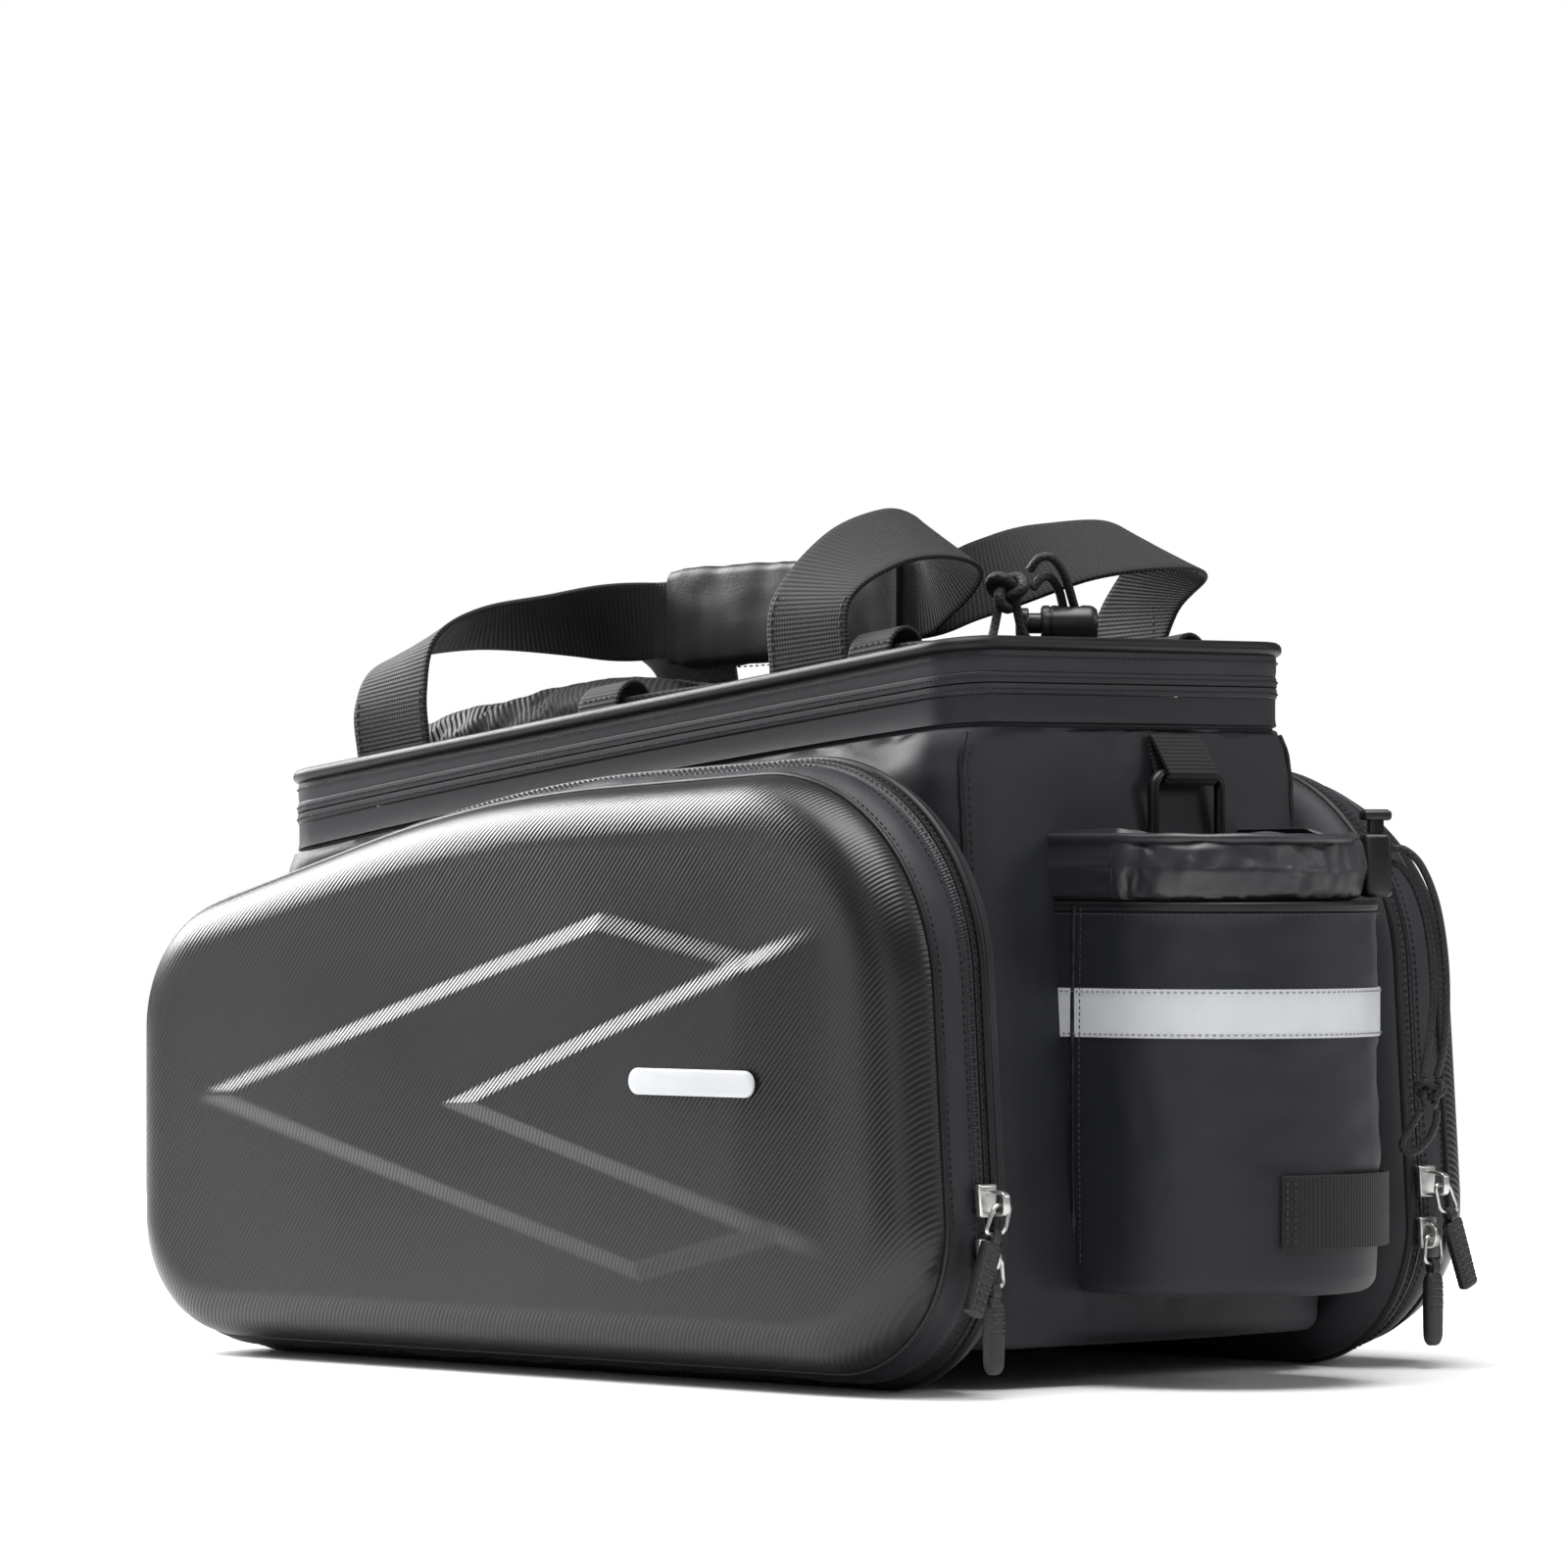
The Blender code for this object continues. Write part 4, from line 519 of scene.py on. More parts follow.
def turned(name, profile, matrix, sides=48):
    """A turned piece. The profile runs as (radius, height)."""
    profile = np.asarray(profile, float)
    angle = np.arange(sides) * TAU / sides
    rings = [np.stack([radius * np.cos(angle), radius * np.sin(angle), np.full(sides, height)], 1)
             for radius, height in profile]
    piece = skin(name, rings)
    piece.data.transform(matrix)
    return piece


def mirrored(piece, name):
    """A copy of a piece on the other side of the bag."""
    made = piece.copy()
    made.data = piece.data.copy()
    made.name = made.data.name = name
    bpy.context.collection.objects.link(made)
    made.data.transform(Matrix.Scale(-1, 4, (0, 1, 0)))
    in_edit_mode(made, (bpy.ops.mesh.flip_normals, {}))
    return made


def soft_noise(points, size, seed):
    """Smooth noise between about -1 and 1, with swells about one size across."""
    draw = np.random.default_rng(seed)
    total = np.zeros(len(points))
    for _ in range(7):
        way = draw.normal(size=3)
        way *= TAU * draw.uniform(0.6, 1.3) / size / np.linalg.norm(way)
        total += np.sin(points @ way + draw.uniform(0, TAU))
    return total / 3.2


def settle(piece, held, pressure, cap, frames=18, shrink=0.0, keep=None):
    """Lets the piece settle as cloth with its held points pinned. No point moves further than cap."""
    before = points_of(piece)
    group = piece.vertex_groups.new(name="held")
    group.add([int(index) for index in np.nonzero(held)[0]], 1.0, "REPLACE")
    cloth = piece.modifiers.new("Cloth", "CLOTH")
    settings = cloth.settings
    settings.quality = 5
    settings.mass = 0.3
    settings.tension_stiffness = settings.compression_stiffness = 15
    settings.bending_stiffness = 0.5
    settings.use_pressure = True
    settings.uniform_pressure_force = pressure
    settings.effector_weights.gravity = 0
    settings.vertex_group_mass = "held"
    settings.shrink_min = shrink
    cloth.collision_settings.use_collision = False
    cloth.point_cache.frame_start, cloth.point_cache.frame_end = 1, frames
    for number in range(1, frames + 1):
        SCENE.frame_set(number)
    evaluated = piece.evaluated_get(bpy.context.evaluated_depsgraph_get())
    after = np.empty(len(before) * 3)
    evaluated.data.vertices.foreach_get("co", after)
    piece.modifiers.remove(cloth)
    piece.vertex_groups.clear()
    SCENE.frame_set(1)
    moved = after.reshape(-1, 3) - before
    far = np.linalg.norm(moved, axis=1)
    moved *= (cap * np.tanh(far / cap) / np.maximum(far, 1e-9))[:, None]
    moved[~np.isfinite(moved).all(1)] = 0
    set_points(piece, before + moved * (1.0 if keep is None else keep[:, None]))


def stitches(name, lines, pitch=0.0022, length=0.0015, radius=0.00032, lift=0.00015):
    """Rows of stitches. Each line is (points, normals): a small bead lies along it at every pitch."""
    bpy.ops.object.select_all(action="DESELECT")
    bpy.ops.mesh.primitive_uv_sphere_add(segments=6, ring_count=4, radius=1.0)
    bead = bpy.context.object
    shape = points_of(bead)
    faces = [tuple(face.vertices) for face in bead.data.polygons]
    bpy.data.objects.remove(bead, do_unlink=True)
    points, all_faces = [], []
    for line, normal in lines:
        line, normal = np.asarray(line, float), np.asarray(normal, float)
        if normal.ndim == 1:
            normal = np.tile(normal, (len(line), 1))
        reach = distances_along(line)
        count = max(1, int(reach[-1] / pitch))
        at = (np.arange(count) + 0.5) * reach[-1] / count
        place, out = read_line(at, reach, line), read_line(at, reach, normal)
        out /= np.linalg.norm(out, axis=1)[:, None]
        way = read_line(at + 0.0004, reach, line) - read_line(at - 0.0004, reach, line)
        way /= np.linalg.norm(way, axis=1)[:, None]
        side = np.cross(out, way)
        for here, forth, across, up in zip(place + out * lift, way, side, out):
            first = len(points)
            moved = (here + shape[:, :1] * across * radius + shape[:, 1:2] * up * radius
                     + shape[:, 2:] * forth * length / 2)
            points.extend(moved)
            all_faces.extend(tuple(first + index for index in face) for face in faces)
    mesh = bpy.data.meshes.new(name)
    mesh.from_pydata([tuple(point) for point in points], [], all_faces)
    mesh.uv_layers.new(name="UVMap")
    piece = bpy.data.objects.new(name, mesh)
    bpy.context.collection.objects.link(piece)
    turn_outwards(piece, None)
    return piece


def finish(piece, surface, stands_for=(), body="bag", angle=45.0):
    """Gives a piece its smooth faces, its surface and its body, and hides the nodes that it stands for."""
    activate(piece)
    bpy.ops.object.shade_smooth_by_angle(angle=math.radians(angle))
    piece.data.materials.clear()
    piece.data.materials.append(surface)
    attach(piece, body)
    if stands_for:
        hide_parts(*stands_for)
    return piece


# Surfaces

def add_node(tree, kind, inputs=None, **settings):
    made = tree.nodes.new("ShaderNode" + kind)
    for name, value in settings.items():
        setattr(made, name, value)
    for key, value in (inputs or {}).items():
        if isinstance(value, bpy.types.NodeSocket):
            tree.links.new(value, made.inputs[key])
        else:
            made.inputs[key].default_value = value
    return made


def calculate(tree, operation, *values):
    """What a Math node makes of these values."""
    return add_node(tree, "Math", dict(enumerate(values)), operation=operation).outputs[0]


def new_group(name, inputs, outputs):
    """A shader node group with (name, socket type, default) inputs and value outputs."""
    tree = bpy.data.node_groups.new(name, "ShaderNodeTree")
    for label, kind, default in inputs:
        made = tree.interface.new_socket(label, in_out="INPUT", socket_type="NodeSocket" + kind)
        if default is not None:
            made.default_value = default
    for label in outputs:
        tree.interface.new_socket(label, in_out="OUTPUT", socket_type="NodeSocketFloat")
    return tree, tree.nodes.new("NodeGroupInput").outputs, tree.nodes.new("NodeGroupOutput").inputs


def wave(tree, value, pitch):
    """A wave between 0 and 1 that repeats at every pitch of the value."""
    angle = calculate(tree, "MULTIPLY", calculate(tree, "DIVIDE", value, pitch), TAU)
    return calculate(tree, "MULTIPLY_ADD", calculate(tree, "SINE", angle), 0.5, 0.5)


def make_ribs_group():
    tree, given, out = new_group(
        "Ribs",
        [("Vector", "Vector", None), ("Way", "Vector", (1, 0, 0)), ("Pitch", "Float", 0.002)],
        ["Height"],
    )
    along = add_node(tree, "VectorMath", {0: given["Vector"], 1: given["Way"]}, operation="DOT_PRODUCT")
    tree.links.new(wave(tree, along.outputs["Value"], given["Pitch"]), out["Height"])
    return tree


def make_weave_group():
    tree, given, out = new_group(
        "Plain weave", [("Vector", "Vector", None), ("Pitch", "Float", 0.001)], ["Height"]
    )
    parts = add_node(tree, "SeparateXYZ", {0: given["Vector"]}).outputs
    warp, weft = wave(tree, parts[0], given["Pitch"]), wave(tree, parts[1], given["Pitch"])
    tree.links.new(calculate(tree, "ABSOLUTE", calculate(tree, "SUBTRACT", warp, weft)), out["Height"])
    return tree


def make_braid_group():
    tree, given, out = new_group(
        "Braid",
        [("Vector", "Vector", None), ("Round", "Float", 0.004), ("Along", "Float", 0.002)],
        ["Height"],
    )
    parts = add_node(tree, "SeparateXYZ", {0: given["Vector"]}).outputs
    turn = calculate(tree, "DIVIDE", parts[0], given["Round"])
    reach = calculate(tree, "DIVIDE", parts[1], given["Along"])
    up, down = calculate(tree, "ADD", reach, turn), calculate(tree, "SUBTRACT", reach, turn)
    tree.links.new(calculate(tree, "MAXIMUM", wave(tree, up, 1.0), wave(tree, down, 1.0)), out["Height"])
    return tree


def make_cloud_group():
    """Slow changes of tone, fine grain, and a rubbed mask, all between 0 and 1."""
    tree, given, out = new_group(
        "Cloud and grain",
        [("Vector", "Vector", None), ("Cloud", "Float", 0.05), ("Grain", "Float", 0.0006)],
        ["Cloud", "Grain", "Rubbed"],
    )
    for label, size, detail in (("Cloud", given["Cloud"], 4.0), ("Grain", given["Grain"], 2.0)):
        scale = calculate(tree, "DIVIDE", 1.0, size)
        noise = add_node(tree, "TexNoise", {"Vector": given["Vector"], "Scale": scale, "Detail": detail})
        tree.links.new(noise.outputs[0], out[label])
    patches = add_node(tree, "TexNoise", {"Vector": given["Vector"], "Scale": 55.0, "Detail": 6.0})
    rubbed = add_node(
        tree, "MapRange", {0: patches.outputs[0], 1: 0.52, 2: 0.72}, interpolation_type="SMOOTHSTEP"
    )
    tree.links.new(rubbed.outputs[0], out["Rubbed"])
    return tree


RIBS, WEAVE, BRAID, CLOUD = make_ribs_group(), make_weave_group(), make_braid_group(), make_cloud_group()


def from_group(tree, group, inputs, output="Height"):
    outputs = add_node(tree, "Group", inputs, node_tree=group).outputs
    return outputs[output] if output else outputs


def make_surface(slot, name, dark, light, roughness, metallic=0.0, pattern=None, depth=0.0, tint=0.35,
                 cloud=0.05, grain=0.0006, grain_depth=0.00002, wear=0.0, **sockets):
    """A material whose colour lies between dark and light by its pattern and its slow changes of tone."""
    made = bpy.data.materials.new(name)
    made["slot"] = slot
    made.use_nodes = True
    tree = made.node_tree
    shader = tree.nodes["Principled BSDF"]
    place = add_node(tree, "TexCoord").outputs["Object"]
    uv = add_node(tree, "UVMap", uv_map="UVMap").outputs[0]
    tone = from_group(tree, CLOUD, {"Vector": place, "Cloud": cloud, "Grain": grain}, None)
    share = add_node(tree, "MapRange", {0: tone["Cloud"], 1: 0.3, 2: 0.7, 3: 0.1, 4: 0.9}).outputs[0]
    normal = add_node(tree, "Bump", {"Height": tone["Grain"], "Distance": grain_depth}).outputs[0]
    if pattern:
        height = pattern(tree, uv, place)
        share = add_node(tree, "Mix", {0: tint, 2: share, 3: height}).outputs[0]
        normal = add_node(tree, "Bump", {"Height": height, "Distance": depth, "Normal": normal}).outputs[0]
    colour = add_node(
        tree, "Mix", {0: share, 6: (*dark, 1.0), 7: (*light, 1.0)}, data_type="RGBA"
    ).outputs[2]
    if wear:
        edge = add_node(tree, "NewGeometry").outputs["Pointiness"]
        edge = add_node(tree, "MapRange", {0: edge, 1: 0.52, 2: 0.60}, interpolation_type="SMOOTHSTEP")
        worn = calculate(tree, "MULTIPLY", calculate(tree, "MULTIPLY", edge.outputs[0], tone["Rubbed"]), wear)
        pale = tuple(min(1.0, channel * 2.2 + 0.03) for channel in light)
        colour = add_node(tree, "Mix", {0: worn, 6: colour, 7: (*pale, 1.0)}, data_type="RGBA").outputs[2]
    low, high = roughness
    rough = add_node(tree, "MapRange", {0: tone["Cloud"], 1: 0.3, 2: 0.7, 3: low, 4: high}).outputs[0]
    tree.links.new(colour, shader.inputs["Base Color"])
    tree.links.new(rough, shader.inputs["Roughness"])
    tree.links.new(normal, shader.inputs["Normal"])
    shader.inputs["Metallic"].default_value = metallic
    for label, value in sockets.items():
        shader.inputs[label.replace("_", " ")].default_value = value
    return made


# Patterns. Each is made for a surface from its UV map, or from the place on the piece.

def uv_weave(pitch):
    return lambda tree, uv, place: from_group(tree, WEAVE, {"Vector": uv, "Pitch": pitch})


def uv_ribs(way, pitch):
    return lambda tree, uv, place: from_group(tree, RIBS, {"Vector": uv, "Way": way, "Pitch": pitch})


def place_ribs(way, pitch):
    return lambda tree, uv, place: from_group(tree, RIBS, {"Vector": place, "Way": way, "Pitch": pitch})


def uv_braid(around, along):
    return lambda tree, uv, place: from_group(tree, BRAID, {"Vector": uv, "Round": around, "Along": along})


def webbing_pattern(pitch):
    """Ribs across the webbing, each broken by the warp that runs along it."""
    def build(tree, uv, place):
        ribs = from_group(tree, RIBS, {"Vector": uv, "Way": (0, 1, 0), "Pitch": pitch})
        warp = from_group(tree, RIBS, {"Vector": uv, "Way": (1, 0, 0), "Pitch": pitch * 0.8})
        return add_node(tree, "Mix", {0: 0.3, 2: ribs, 3: warp}).outputs[0]
    return build


CLOTH = make_surface(
    "coated_cloth", "Coated cloth", (0.0072, 0.0077, 0.0102), (0.0130, 0.0140, 0.0180), (0.46, 0.58),
    pattern=uv_weave(0.0011), depth=0.00005, tint=0.18, Sheen_Weight=0.03, Sheen_Roughness=0.4,
    Specular_IOR_Level=0.35,
)
# The lid and zip band use the body's coated cloth, painted lighter: the extra lightness is painted light
# standing in for the overhead softbox.
LID_CLOTH_PAINTED_LIGHT = make_surface(
    "coated_cloth", "Lid cloth with painted light", (0.0110, 0.0116, 0.0145), (0.0200, 0.0212, 0.0260), (0.44, 0.56),
    pattern=uv_weave(0.0011), depth=0.00005, tint=0.15, Sheen_Weight=0.04, Sheen_Roughness=0.4,
    Specular_IOR_Level=0.4,
)
ZIP_TAPE = make_surface(
    "zip_tape", "Zip tape", (0.0060, 0.0060, 0.0075), (0.0130, 0.0135, 0.0155), (0.40, 0.50),
    pattern=uv_ribs((1, 0, 0), 0.0012), depth=0.00012, tint=0.4, Specular_IOR_Level=0.35,
)
PIPING = make_surface(
    "piping_cloth", "Piping cloth", (0.0035, 0.0035, 0.0040), (0.0080, 0.0080, 0.0090), (0.34, 0.46),
    pattern=uv_weave(0.0008), depth=0.00004, tint=0.2, Specular_IOR_Level=0.3,
)
SHELL = make_surface(
    "carbon_shell", "Woven look shell", (0.0045, 0.0045, 0.0052), (0.0125, 0.0125, 0.0138),
    (0.30, 0.35), pattern=place_ribs((0.777, 0.0, -0.629), 0.0016), depth=0.00010, tint=0.45,
    cloud=0.09, Specular_IOR_Level=0.40,
)
WEBBING = make_surface(
    "webbing", "Webbing", (0.0035, 0.0035, 0.0045), (0.0150, 0.0150, 0.0170), (0.66, 0.78),
    pattern=webbing_pattern(0.0016), depth=0.00030, tint=0.6, Sheen_Weight=0.05, Specular_IOR_Level=0.3,
)
NET = make_surface(
    "net", "Stretch net", (0.0030, 0.0030, 0.0038), (0.0340, 0.0345, 0.0375), (0.55, 0.7),
    pattern=uv_ribs((0.8, 0.6, 0), 0.0022), depth=0.0006, tint=0.7, Sheen_Weight=0.08,
    Specular_IOR_Level=0.3,
)
ELASTIC = make_surface(
    "elastic", "Braided cord", (0.0040, 0.0040, 0.0046), (0.0170, 0.0170, 0.0190), (0.5, 0.62),
    pattern=uv_braid(0.0027, 0.0024), depth=0.00018, tint=0.6, Sheen_Weight=0.05,
    Specular_IOR_Level=0.35,
)
PLASTIC = make_surface(
    "lock_plastic", "Moulded plastic", (0.0060, 0.0060, 0.0068), (0.0130, 0.0130, 0.0142), (0.32, 0.42),
    grain=0.0004, grain_depth=0.00003, cloud=0.012, wear=0.4,
)
SATIN = make_surface(
    "satin", "Satin lining cloth", (0.0070, 0.0072, 0.0092), (0.0170, 0.0176, 0.0215), (0.30, 0.38),
    pattern=uv_weave(0.0006), depth=0.00003, tint=0.15, Sheen_Weight=0.06, Specular_IOR_Level=0.55,
)
REFLECTIVE = make_surface(
    "reflective", "Reflective tape", (0.50, 0.51, 0.53), (0.62, 0.63, 0.65), (0.30, 0.40),
    pattern=uv_weave(0.0010), depth=0.00003, tint=0.3, cloud=0.02,
)
STEEL = make_surface(
    "steel", "Nickelled steel", (0.50, 0.49, 0.47), (0.70, 0.69, 0.67), (0.29, 0.36), metallic=1.0,
    cloud=0.004, grain=0.0003, grain_depth=0.00001,
)
BLACK_WIRE = make_surface(
    "black_wire", "Black wire", (0.008, 0.008, 0.009), (0.018, 0.018, 0.020), (0.30, 0.38),
    metallic=0.5, cloud=0.01, wear=0.6,
)
RUBBER = make_surface(
    "rubber", "Rubber grip", (0.0045, 0.0045, 0.0050), (0.0110, 0.0110, 0.0120), (0.40, 0.52),
    grain=0.0004, cloud=0.006, wear=0.4,
)
SLEEVE = make_surface(
    "coated_cloth", "Grip sleeve", (0.0055, 0.0055, 0.0065), (0.0120, 0.0120, 0.0135), (0.42, 0.55),
    grain=0.0009, grain_depth=0.00008, cloud=0.02, Specular_IOR_Level=0.35,
)
THREAD = make_surface(
    "piping_cloth", "Thread", (0.022, 0.022, 0.025), (0.048, 0.048, 0.053), (0.5, 0.65), cloud=0.004,
    Specular_IOR_Level=0.3,
)
DARK_THREAD = make_surface(
    "piping_cloth", "Dark thread", (0.004, 0.004, 0.005), (0.010, 0.010, 0.012), (0.5, 0.65),
    cloud=0.004, Specular_IOR_Level=0.3,
)
GREY_THREAD = make_surface(
    "piping_cloth", "Grey thread", (0.16, 0.16, 0.17), (0.24, 0.24, 0.25), (0.5, 0.65), cloud=0.004,
)


# Camera, floor and lights

def make_studio():
    lens = bpy.data.cameras.new("Photo view")
    camera = bpy.data.objects.new("Photo view", lens)
    bpy.context.collection.objects.link(camera)
    half = math.sqrt(0.5)
    camera.location = (CAMERA_AWAY * half + CAMERA_ASIDE * half, -CAMERA_AWAY * half + CAMERA_ASIDE * half,
                       CAMERA_HEIGHT)
    camera.rotation_euler = (math.radians(90), 0.0, math.radians(45))
    lens.lens = CAMERA_LENS
    lens.sensor_width = CAMERA_SENSOR
    lens.shift_y = CAMERA_SHIFT
    lens.clip_end = 200.0
    SCENE.camera = camera
    bpy.ops.object.select_all(action="DESELECT")
    bpy.ops.mesh.primitive_plane_add(size=2.7, location=(0.0, 0.0, 0.0))
    floor = bpy.context.object
    floor.name = floor.data.name = "floor"
    level = Matrix.Translation((0.0, 0.0, CAD_BOX[0][2] - 0.0002))
    floor.data.transform(level @ Matrix.Rotation(math.radians(45), 4, "Z"))
    pale = bpy.data.materials.new("Pale floor")
    pale.use_nodes = True
    shader = pale.node_tree.nodes["Principled BSDF"]
    shader.inputs["Base Color"].default_value = (0.92, 0.92, 0.92, 1.0)
    shader.inputs["Roughness"].default_value = 0.9
    shader.inputs["Specular IOR Level"].default_value = 0.1
    floor.data.materials.append(pale)
    world = bpy.data.worlds.new("Studio")
    SCENE.world = world
    world.use_nodes = True
    tree = world.node_tree
    seen = tree.nodes["Background"]
    seen.inputs[0].default_value = (1.0, 1.0, 1.0, 1.0)
    seen.inputs[1].default_value = 1.0
    dim = add_node(tree, "Background", {0: (0.94, 0.96, 1.0, 1.0), 1: 0.16}).outputs[0]
    camera_sees = add_node(tree, "LightPath").outputs["Is Camera Ray"]
    both = add_node(tree, "MixShader", {0: camera_sees, 1: dim, 2: seen.outputs[0]}).outputs[0]
    tree.links.new(both, tree.nodes["World Output"].inputs[0])
    for name, place, size, power, aim in (
        ("Overhead softbox", (0.30, -0.20, 1.7), 1.3, 46.0, (0.0, 0.0, 0.1)),
        ("Front rim softbox", (-1.40, -0.28, 0.95), 1.0, 62.0, (0.0, -0.1, 0.1)),
        ("Near fill", (1.6, -2.6, 0.9), 1.4, 7.0, (0.0, 0.0, 0.1)),
        ("Rear fill", (2.0, 1.5, 1.2), 1.0, 12.0, (0.2, 0.1, 0.1)),
    ):
        light = bpy.data.lights.new(name, "AREA")
        light.energy = power
        light.size = size
        lamp = bpy.data.objects.new(name, light)
        bpy.context.collection.objects.link(lamp)
        lamp.location = place
        lamp.rotation_euler = (Vector(aim) - Vector(place)).to_track_quat("-Z", "Y").to_euler()
    SCENE.view_settings.view_transform = "Standard"


# Main compartment

def eased(share):
    return share * share * (3 - 2 * share)


def make_main_body():
    """The tub's base, walls and shoulder, with the lower strip of the band up to the zip."""
    drop_share, edge_share = 1 - FLARE_DROP / SEAM_REAR, BASE_EDGE / SEAM_REAR
    rings = pole_rows(body_ring(lambda x: 0.0, 0.0, BASE_EDGE), (0.0, 0.35, 0.7), (0.005, 0.0, 0.0))
    for step in range(5):
        angle = math.pi / 2 * step / 4
        low, inset = BASE_EDGE * (1 - math.cos(angle)), BASE_EDGE * (1 - math.sin(angle))
        rings.append(body_ring(lambda x: low, low / SEAM_REAR, inset))
    for share in np.linspace(0.04, 1, 44):
        level = edge_share + (drop_share - edge_share) * share
        rings.append(body_ring(
            lambda x: BASE_EDGE + (seam_height(x) - FLARE_DROP - BASE_EDGE) * share, level))
    for share in np.linspace(0.9, 0.06, 14):
        drop = FLARE_DROP * share
        flare = FLARE * (1 - (1 - share) ** 2.2)
        rings.append(body_ring(lambda x: seam_height(x) - drop, 1 - drop / SEAM_REAR, flare=flare))
    for lift, inset in ((-0.0004, 0.0010), (0.0002, 0.0010), (0.0008, -0.0004)):
        rings.append(lid_ring(lambda x: seam_height(x) + lift, inset))
    for share in (0.3, 0.7, 1.0):
        rings.append(lid_ring(
            lambda x: seam_height(x) * (1 - share) + (zip_height(x) - ZIP_WIDTH / 2) * share))
    piece = skin("main_body", rings, outside=(0.0, 0.0, 0.1))
    at = points_of(piece)
    x, y, z = at.T
    on_wall = (z > 0.008) & (z < np.vectorize(seam_height)(x) - 0.002)
    up = np.clip((z - 0.01) / 0.16, 0, 1)
    rise = 0.0009 * soft_noise(at * (1, 1, 0.6), 0.11, 11) + 0.00035 * soft_noise(at, 0.035, 12)
    rise += 0.0014 * np.sin(np.pi * up)
    calm = np.ones(len(at))
    # The vertical seams at the rear corners draw the cloth in, with small puckers on both sides.
    for side in (-1, 1):
        away = np.hypot(x - rear_wall(side * 0.075, z) + 0.006, (y - side * (BODY_HALF - 0.003)))
        pucker = 0.3 * np.sin(z * TAU / 0.013) * np.exp(-((away / 0.012) ** 2))
        rise *= 1 - np.exp(-((away / 0.011) ** 2))
        rise -= 0.0006 * pucker
        calm *= 1 - np.exp(-((away / 0.012) ** 2))
    swell(piece, np.where(on_wall, rise, 0))
    settle(piece, ~on_wall, 2.0, 0.0016, frames=12, shrink=-0.015, keep=calm)
    add_wall(piece, BODY_WALL)
    finish(piece, CLOTH, ["main_tub"])


def make_corner_seams():
    """The corded seams at the body's rear corners, each with a line of stitches beside it."""
    turn = math.radians(38)
    lines = []
    for side_name, side in (("near", -1), ("far", 1)):
        seam = []
        for z in np.linspace(0.010, seam_height(HALF_LENGTH) - 0.003, 90):
            share = 1 - z / SEAM_REAR
            rear = HALF_LENGTH + REAR_SLANT * share
            drop = np.clip((seam_height(rear) - z) / FLARE_DROP, 0, 1)
            half = HALF_WIDTH + FLARE * (1 - (1 - drop) ** 2.2)
            seam.append((rear - PLAN_CORNER * (1 - math.cos(turn)) + 0.0004,
                         side * (half - PLAN_CORNER * (1 - math.sin(turn)) - 0.0002), z))
        seam = np.array(seam)
        seam[:, 0] += 0.0002 * np.sin(seam[:, 2] * TAU / 0.0105)
        finish(tube(f"body_corner_seam_{side_name}", seam, 0.0010, 8), PIPING)
        out = np.array([0.9, side * 0.4, 0.0])
        lines.append((seam + np.array([0.0016, -side * 0.0022, 0.0]), out))
    finish(stitches("body_corner_stitches", lines, 0.0030, 0.0018, 0.0003), DARK_THREAD)


def make_main_zip():
    """The covered zip: two flaps of tape that meet in a fine groove, each with its line of stitches."""
    rings = []
    for share, inset in ((0.0, 0.0), (0.06, -0.0004), (0.28, -0.0006), (0.46, -0.0005), (0.495, 0.0007),
                         (0.505, 0.0007), (0.54, -0.0005), (0.72, -0.0006), (0.94, -0.0004), (1.0, 0.0)):
        lift = (share - 0.5) * (ZIP_WIDTH - GAP)
        rings.append(lid_ring(lambda x: zip_height(x) + lift, inset))
    piece = skin("main_zip_tape", rings, outside=(0.0, 0.0, 0.2))
    add_wall(piece, TAPE_WALL)
    # The zip band's cloth is painted lighter, as painted light from above.
    finish(piece, LID_CLOTH_PAINTED_LIGHT, ["main_zip"], angle=25)
    lines = [closed_line(lid_ring(lambda x: zip_height(x) + lift, -0.0006)) for lift in (-0.0021, 0.0021)]
    finish(stitches("main_zip_stitches", lines, 0.0019, 0.0013, 0.00028), DARK_THREAD)


